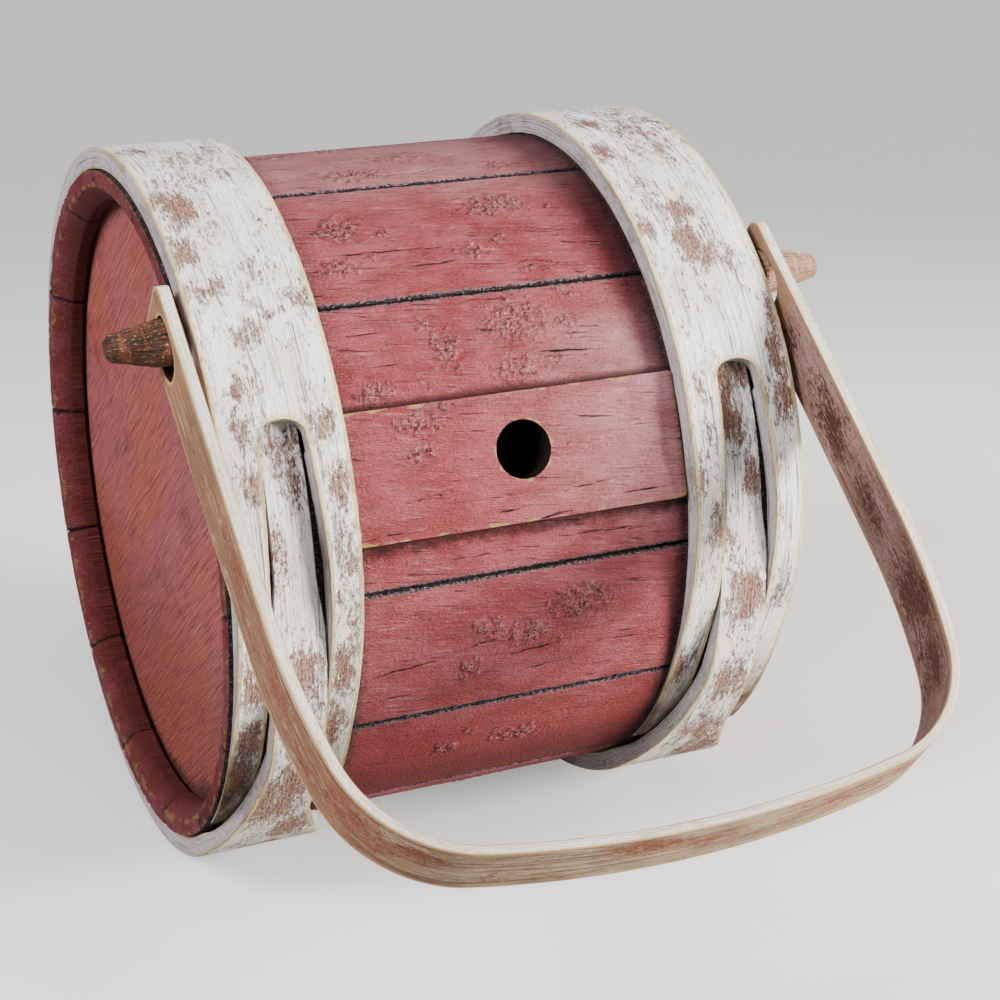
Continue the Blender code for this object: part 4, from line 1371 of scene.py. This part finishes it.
def head_paint():
    """Dark red paint on the heads, scratched all over in hair lines and rubbed to olive and purple."""
    g = Graph("head_paint")
    grain = g.layer("grain")
    hairs = g.fibrous(g.tilted(grain, -38.0), 62, 900, 4.0, 0.60, 0.3)
    blots = g.noise(grain, 60.0, 5.0, 0.65, 0.4)
    clouds = g.noise(grain, 22.0, 3.0, 0.6)
    specks = g.noise(grain, 1400.0, 3.0, 0.6)
    colour = g.coats(
        (0.43, 0.108, 0.075),
        (clouds, 0.35, 0.65, 1.0, (0.40, 0.112, 0.116)),
        (blots, 0.52, 0.72, 0.45, (0.40, 0.165, 0.070)),
        (blots, 0.46, 0.30, 0.65, (0.22, 0.045, 0.042)),
        (hairs, 0.52, 0.64, 0.38, (0.56, 0.205, 0.140)),
        (hairs, 0.47, 0.36, 0.60, (0.14, 0.030, 0.028)),
    )
    colour = g.coats(
        g.shaded(colour, g.ramp(specks, 0.3, 0.7, 0.85, 1.15)),
        (g.layer("low"), 0.0, 1.0, 0.50, (0.17, 0.038, 0.022)),
        (g.ragged(g.layer("rim"), blots, 0.012), 0.006, 0.0, 0.6, SOOT),
    )
    height = g.plus(hairs, g.times(specks, 0.3))
    return g.finish(colour, g.ramp(hairs, 0.3, 0.7, 0.50, 0.75), height, 0.0042, 0.20)


def wash(g, reach):
    """The wear of a whitewashed piece: how bare it is at each fleck, its streaks, clouds and specks."""
    grain = g.layer("grain")
    flecks = g.fibrous(grain, 420, 1150, 6.0, 0.85, 0.2)
    drift = g.fibrous(grain, 80, 170, 3.0, 0.6)
    share = g.ragged(g.plus(flecks, g.times(g.layer("bare"), reach)), drift, 0.30)
    streaks = g.fibrous(grain, 32, 1250, 5.0, 0.70, 0.5)
    clouds = g.fibrous(grain, 45, 90, 4.0, 0.6)
    specks = g.fibrous(grain, 800, 1900, 3.0, 0.65)
    return share, streaks, clouds, specks


def edge_line(g, specks, streaks, wide):
    """Where paint has rubbed to ochre along an edge."""
    edge = g.ragged(g.ragged(g.layer("edge"), specks, 0.0022), streaks, 0.0012)
    return g.ramp(edge, wide, 0.45 * wide, 0.0, 0.9)


def hoop_wash():
    """Whitewash on the hoops, thin in places, over red-brown wood that shows in flecks and along edges."""
    g = Graph("hoop_wash")
    share, streaks, clouds, specks = wash(g, 0.21)
    under = g.coats(
        (0.23, 0.076, 0.044),
        (streaks, 0.40, 0.58, 1.0, (0.42, 0.240, 0.165)),
        (specks, 0.53, 0.42, 0.95, (0.045, 0.022, 0.015)),
    )
    colour = g.coats(
        WHITEWASH,
        (clouds, 0.42, 0.66, 0.6, CREAM),
        (streaks, 0.53, 0.61, 0.55, (0.42, 0.39, 0.35)),
        (streaks, 0.585, 0.65, 0.85, (0.15, 0.125, 0.11)),
        (specks, 0.40, 0.31, 0.75, (0.22, 0.17, 0.13)),
    )
    colour = g.mixed(g.times(g.layer("damp"), 0.45), colour, (0.55, 0.43, 0.27))
    colour = g.coats(colour, (share, 0.590, 0.625, 0.95, under))
    colour = g.mixed(edge_line(g, specks, streaks, 0.0017), colour, EDGE_CREAM)
    colour = g.mixed(g.times(g.layer("soil"), 0.9), colour, (0.080, 0.034, 0.012))
    # Side faces: worn wash over wood, darkened and tinted lavender as painted shade
    worn_and_shaded_side = g.coats(
        (0.54, 0.48, 0.50),
        (streaks, 0.50, 0.64, 1.0, (0.30, 0.21, 0.16)),
        (specks, 0.42, 0.32, 0.8, (0.16, 0.10, 0.08)),
    )
    colour = g.mixed(g.times(g.layer("side"), 0.75), colour, worn_and_shaded_side)
    height = g.plus(streaks, g.times(specks, 0.5), g.ramp(share, 0.58, 0.64, 0.0, -0.6))
    return g.finish(colour, g.ramp(streaks, 0.3, 0.7, 0.66, 0.86), height, 0.0012, 0.12)


def bail_wash():
    """Thin wash on the bail, rubbed to brown on its wide faces and bright along its narrow edges."""
    g = Graph("bail_wash")
    inside = g.layer("inside")
    share, streaks, clouds, specks = wash(g, 0.20)
    smears = g.fibrous(g.layer("grain"), 75, 380, 5.0, 0.72, 0.4)
    # Arms darker and browner than the grip: partly wear, partly painted shade
    grip = g.coats((0.44, 0.330, 0.200), (clouds, 0.40, 0.64, 1.0, (0.35, 0.230, 0.142)))
    arm = g.coats((0.31, 0.172, 0.090), (clouds, 0.40, 0.64, 1.0, (0.24, 0.125, 0.068)))
    under = g.coats(
        (0.20, 0.046, 0.026),
        (streaks, 0.40, 0.60, 1.0, (0.31, 0.115, 0.060)),
        (specks, 0.50, 0.38, 0.9, (0.055, 0.028, 0.020)),
    )
    face = g.coats(
        g.mixed(g.layer("arm"), grip, arm),
        (smears, 0.46, 0.34, 0.55, (0.60, 0.490, 0.370)),
        (smears, 0.53, 0.66, 0.65, (0.16, 0.080, 0.046)),
        (streaks, 0.44, 0.30, 0.5, (0.60, 0.490, 0.360)),
        (streaks, 0.515, 0.60, 0.85, (0.13, 0.066, 0.038)),
        (specks, 0.44, 0.34, 0.6, (0.13, 0.062, 0.038)),
        (share, 0.585, 0.630, 0.9, under),
    )
    pitted = g.coats((0.022, 0.009, 0.007), (streaks, 0.40, 0.60, 1.0, (0.085, 0.026, 0.018)))
    within = g.coats(
        (0.32, 0.200, 0.160),
        (clouds, 0.40, 0.64, 1.0, (0.24, 0.135, 0.100)),
        (smears, 0.46, 0.34, 0.50, (0.42, 0.300, 0.260)),
        (smears, 0.53, 0.66, 0.60, (0.100, 0.044, 0.030)),
        (streaks, 0.53, 0.62, 0.7, (0.080, 0.038, 0.028)),
        (specks, 0.45, 0.36, 0.75, (0.050, 0.020, 0.016)),
    )
    # Painted shade on the inner face towards the grip
    within = g.shaded(within, g.ramp(g.layer("low"), 0.0, 1.0, 1.0, 0.62))
    within = g.coats(within, (share, 0.590, 0.660, 0.95, pitted))
    face = g.coats(g.mixed(inside, face, within), (specks, 0.36, 0.26, 0.7, DARK_WOOD))
    eye = g.times(g.layer("eye"), g.ramp(streaks, 0.35, 0.6, 0.30, 0.75))
    face = g.mixed(eye, face, (0.32, 0.170, 0.068))
    rubbed = g.mixed(inside, (0.54, 0.35, 0.15), (0.34, 0.18, 0.08))
    face = g.mixed(edge_line(g, specks, streaks, 0.0012), face, rubbed)
    rim = g.coats(
        (0.82, 0.790, 0.740),
        (clouds, 0.40, 0.56, 0.7, (0.68, 0.585, 0.390)),
        (streaks, 0.51, 0.60, 0.75, (0.46, 0.35, 0.20)),
        (specks, 0.46, 0.36, 0.75, (0.32, 0.23, 0.15)),
        (share, 0.64, 0.68, 0.8, (0.34, 0.20, 0.14)),
    )
    colour = g.mixed(g.layer("side"), face, rim)
    # Painted shade on the walls of the eyes
    colour = g.mixed(g.layer("bore"), colour, (0.060, 0.030, 0.016))
    height = g.plus(streaks, g.times(specks, 0.4))
    return g.finish(colour, g.ramp(streaks, 0.3, 0.7, 0.60, 0.85), height, 0.0008, 0.10)


def peg_wood(name, dark, middle, light, mark):
    """Whittled wood: long streaks, rings of wear and chips of another colour."""
    g = Graph(name)
    grain = g.layer("grain")
    streaks = g.fibrous(grain, 120, 1500, 4.0, 0.6, 0.3)
    rings = g.fibrous(grain, 420, 60, 3.0, 0.6, 0.5)
    specks = g.fibrous(grain, 900, 1100, 3.0, 0.65)
    colour = g.coats(
        dark, (streaks, 0.38, 0.62, 1.0, middle), (rings, 0.52, 0.66, 0.8, light),
        (specks, 0.58, 0.68, 0.8, mark), (specks, 0.40, 0.28, 0.7, g.mixed(0.6, dark, SOOT)),
    )
    colour = g.mixed(g.times(g.layer("chips"), 0.5), colour, middle)
    height = g.plus(streaks, g.times(specks, 0.6))
    return g.finish(colour, 0.7, height, 0.0010, 0.15)


# Stage


FLOOR_PALE = (0.64, 0.637, 0.630)
FLOOR_PALER = (0.67, 0.667, 0.660)
FLOOR_BOUNCE = (0.35, 0.35, 0.35)
FLOOR_GLOW = 0.50
FAR_GLOW = 1.22
FLOOR_FLAT = 2.2
FLOOR_BEND = 0.8
WORLD_TINT = (0.86, 0.88, 0.95, 1.0)
WORLD_LIGHT = 0.10
# Each lamp's name, direction, distance, size, power and colour
LAMPS = (
    ("key", (0.80, -0.55, 0.20), 1.5, 0.50, 100.0, (1.0, 0.965, 0.92)),
    ("fill", (-0.75, -0.24, 0.60), 1.5, 0.6, 38.0, (0.94, 0.91, 1.0)),
    ("top", (0.0, -0.35, 0.94), 1.5, 0.8, 12.0, (1.0, 0.99, 0.98)),
)


def floor_paper():
    """Pale paper whose own glow takes over from its shading far off, so that no lamp's edge shows there."""
    g = Graph("floor_paper")
    place = g.tree.nodes.new("ShaderNodeTexCoord").outputs["Object"]
    seen = g.tree.nodes.new("ShaderNodeLightPath").outputs["Is Camera Ray"]
    reach = g.tree.nodes.new("ShaderNodeVectorMath")
    reach.operation = "LENGTH"
    g.put(reach.inputs[0], place)
    reach = reach.outputs["Value"]
    colour = g.mixed(g.noise(place, 9.0, 4.0), FLOOR_PALE, FLOOR_PALER)
    colour = g.shaded(colour, g.ramp(reach, 0.35, 1.10, 1.0, 0.04))
    colour = g.mixed(seen, FLOOR_BOUNCE, colour)
    g.put(g.surface.inputs["Emission Color"], FLOOR_PALE)
    glow = g.ramp(reach, 0.35, 1.10, FLOOR_GLOW, FAR_GLOW)
    g.put(g.surface.inputs["Emission Strength"], g.times(seen, glow))
    return g.finish(colour, 0.9, g.noise(place, 700.0, 2.0), 0.0005, 0.1, 0.05)


def make_floor():
    """A pale floor, flat under the canteen and rising all round it far off."""
    profile = [(reach, 0.0) for reach in np.linspace(0.1, FLOOR_FLAT, 22)]
    for angle in np.linspace(0.1, math.pi / 2, 16):
        profile.append((FLOOR_FLAT + FLOOR_BEND * math.sin(angle), FLOOR_BEND * (1 - math.cos(angle))))
    profile += [(3.0, 1.2), (3.0, 2.0)]
    turns = np.linspace(0, 2 * math.pi, FLOOR_SIDES, endpoint=False)
    places = []
    for reach, height in profile:
        places += [(reach * math.cos(turn), reach * math.sin(turn), height) for turn in turns]
    faces = [face[::-1] for face in ring_faces(len(profile), FLOOR_SIDES, caps=False)]
    faces.append(list(range(FLOOR_SIDES)))
    mesh = bpy.data.meshes.new("floor")
    mesh.from_pydata(places, [], faces)
    mesh.shade_smooth()
    mesh.materials.append(floor_paper())
    place_object("floor", mesh)


def make_lamp(name, direction, distance, size, power, colour):
    """A soft square lamp that points at the canteen's middle from a direction."""
    lamp = bpy.data.lights.new(name, "AREA")
    lamp.shape = "SQUARE"
    lamp.size = size
    lamp.energy = power
    lamp.color = colour
    piece = place_object(name, lamp)
    towards = Vector(direction).normalized()
    piece.location = Vector((0.0, 0.0, AXIS_Z)) + towards * distance
    piece.rotation_euler = (-towards).to_track_quat("-Z", "Y").to_euler()


def make_world():
    world = bpy.data.worlds.new("studio")
    world.use_nodes = True
    background = world.node_tree.nodes["Background"]
    background.inputs["Color"].default_value = WORLD_TINT
    background.inputs["Strength"].default_value = WORLD_LIGHT
    bpy.context.scene.world = world


def make_camera():
    camera = place_object("camera", bpy.data.cameras.new("camera"))
    camera.data.lens = CAMERA_LENS
    camera.data.sensor_width = 36.0
    camera.data.clip_start = 0.01
    camera.location = CAMERA_PLACE
    camera.rotation_euler = (math.radians(90 - CAMERA_DOWN), 0.0, -math.radians(CAMERA_AZIMUTH))
    bpy.context.scene.camera = camera


def bore_bung_stave(piece):
    """Cut the bung hole through the stave under the board, keep its wall free of wear, and paint it in shade.
    """
    turn = math.radians(BUNG_ANGLE)
    out = Vector((0.0, -math.cos(turn), math.sin(turn)))
    foot = Vector((BUNG_OFFSET, AXIS_Y, AXIS_Z))
    side = Vector((1.0, 0.0, 0.0))
    up = out.cross(side)
    places = []
    for reach in (SHELL_INNER - 0.004, SHELL_RADIUS + 0.003):
        for step in range(BORE_SIDES):
            angle = 2 * math.pi * step / BORE_SIDES
            places.append(foot + out * reach + (side * math.cos(angle) + up * math.sin(angle)) * BUNG_RADIUS)
    bore = place_object("bore", closed_mesh("bore", np.array(places), ring_faces(2, BORE_SIDES), {}))
    cut = piece.modifiers.new("bung", "BOOLEAN")
    cut.operation = "DIFFERENCE"
    cut.solver = "EXACT"
    cut.object = bore
    made = bpy.data.meshes.new_from_object(piece.evaluated_get(bpy.context.evaluated_depsgraph_get()))
    piece.modifiers.clear()
    piece.data = made
    bpy.data.objects.remove(bore)
    offset = np.array([vertex.co for vertex in made.vertices]) - np.array(foot)
    reach = offset @ np.array(out)
    near = np.linalg.norm(offset - np.outer(reach, np.array(out)), axis=1)
    in_hole = (near < BUNG_RADIUS + 0.0003) & (reach > 0)
    made.attributes.new("bore", "FLOAT", "POINT")
    plain = {"edge": NO_EDGE, "rim": NO_EDGE, "crack": 0.0, "crumble": 0.0, "bore": 1.0}
    for layer, number in plain.items():
        values = np.zeros(len(offset), dtype=np.float32)
        made.attributes[layer].data.foreach_get("value", values)
        values[in_hole] = number
        made.attributes[layer].data.foreach_set("value", values)


# The pieces

red = red_paint()
for number in range(1, 13):
    stave_piece("stave_%02d" % number, number, red)
bore_bung_stave(stave_piece("bung_stave", 13, red))
board_piece(red, 71)
hoops = hoop_wash()
hoop_piece("hoop_left", hoops, 201)
hoop_piece("hoop_right", hoops, 233)
heads = head_paint()
head_piece("head_left", heads, 301)
head_piece("head_right", heads, 317)
bail_piece(bail_wash(), 401)
peg_piece("peg_left", peg_wood("dark_peg", *DARK_PEG), 501)
peg_piece("peg_right", peg_wood("pale_peg", *PALE_PEG), 517)

make_floor()
make_world()
for lamp in LAMPS:
    make_lamp(*lamp)
make_camera()
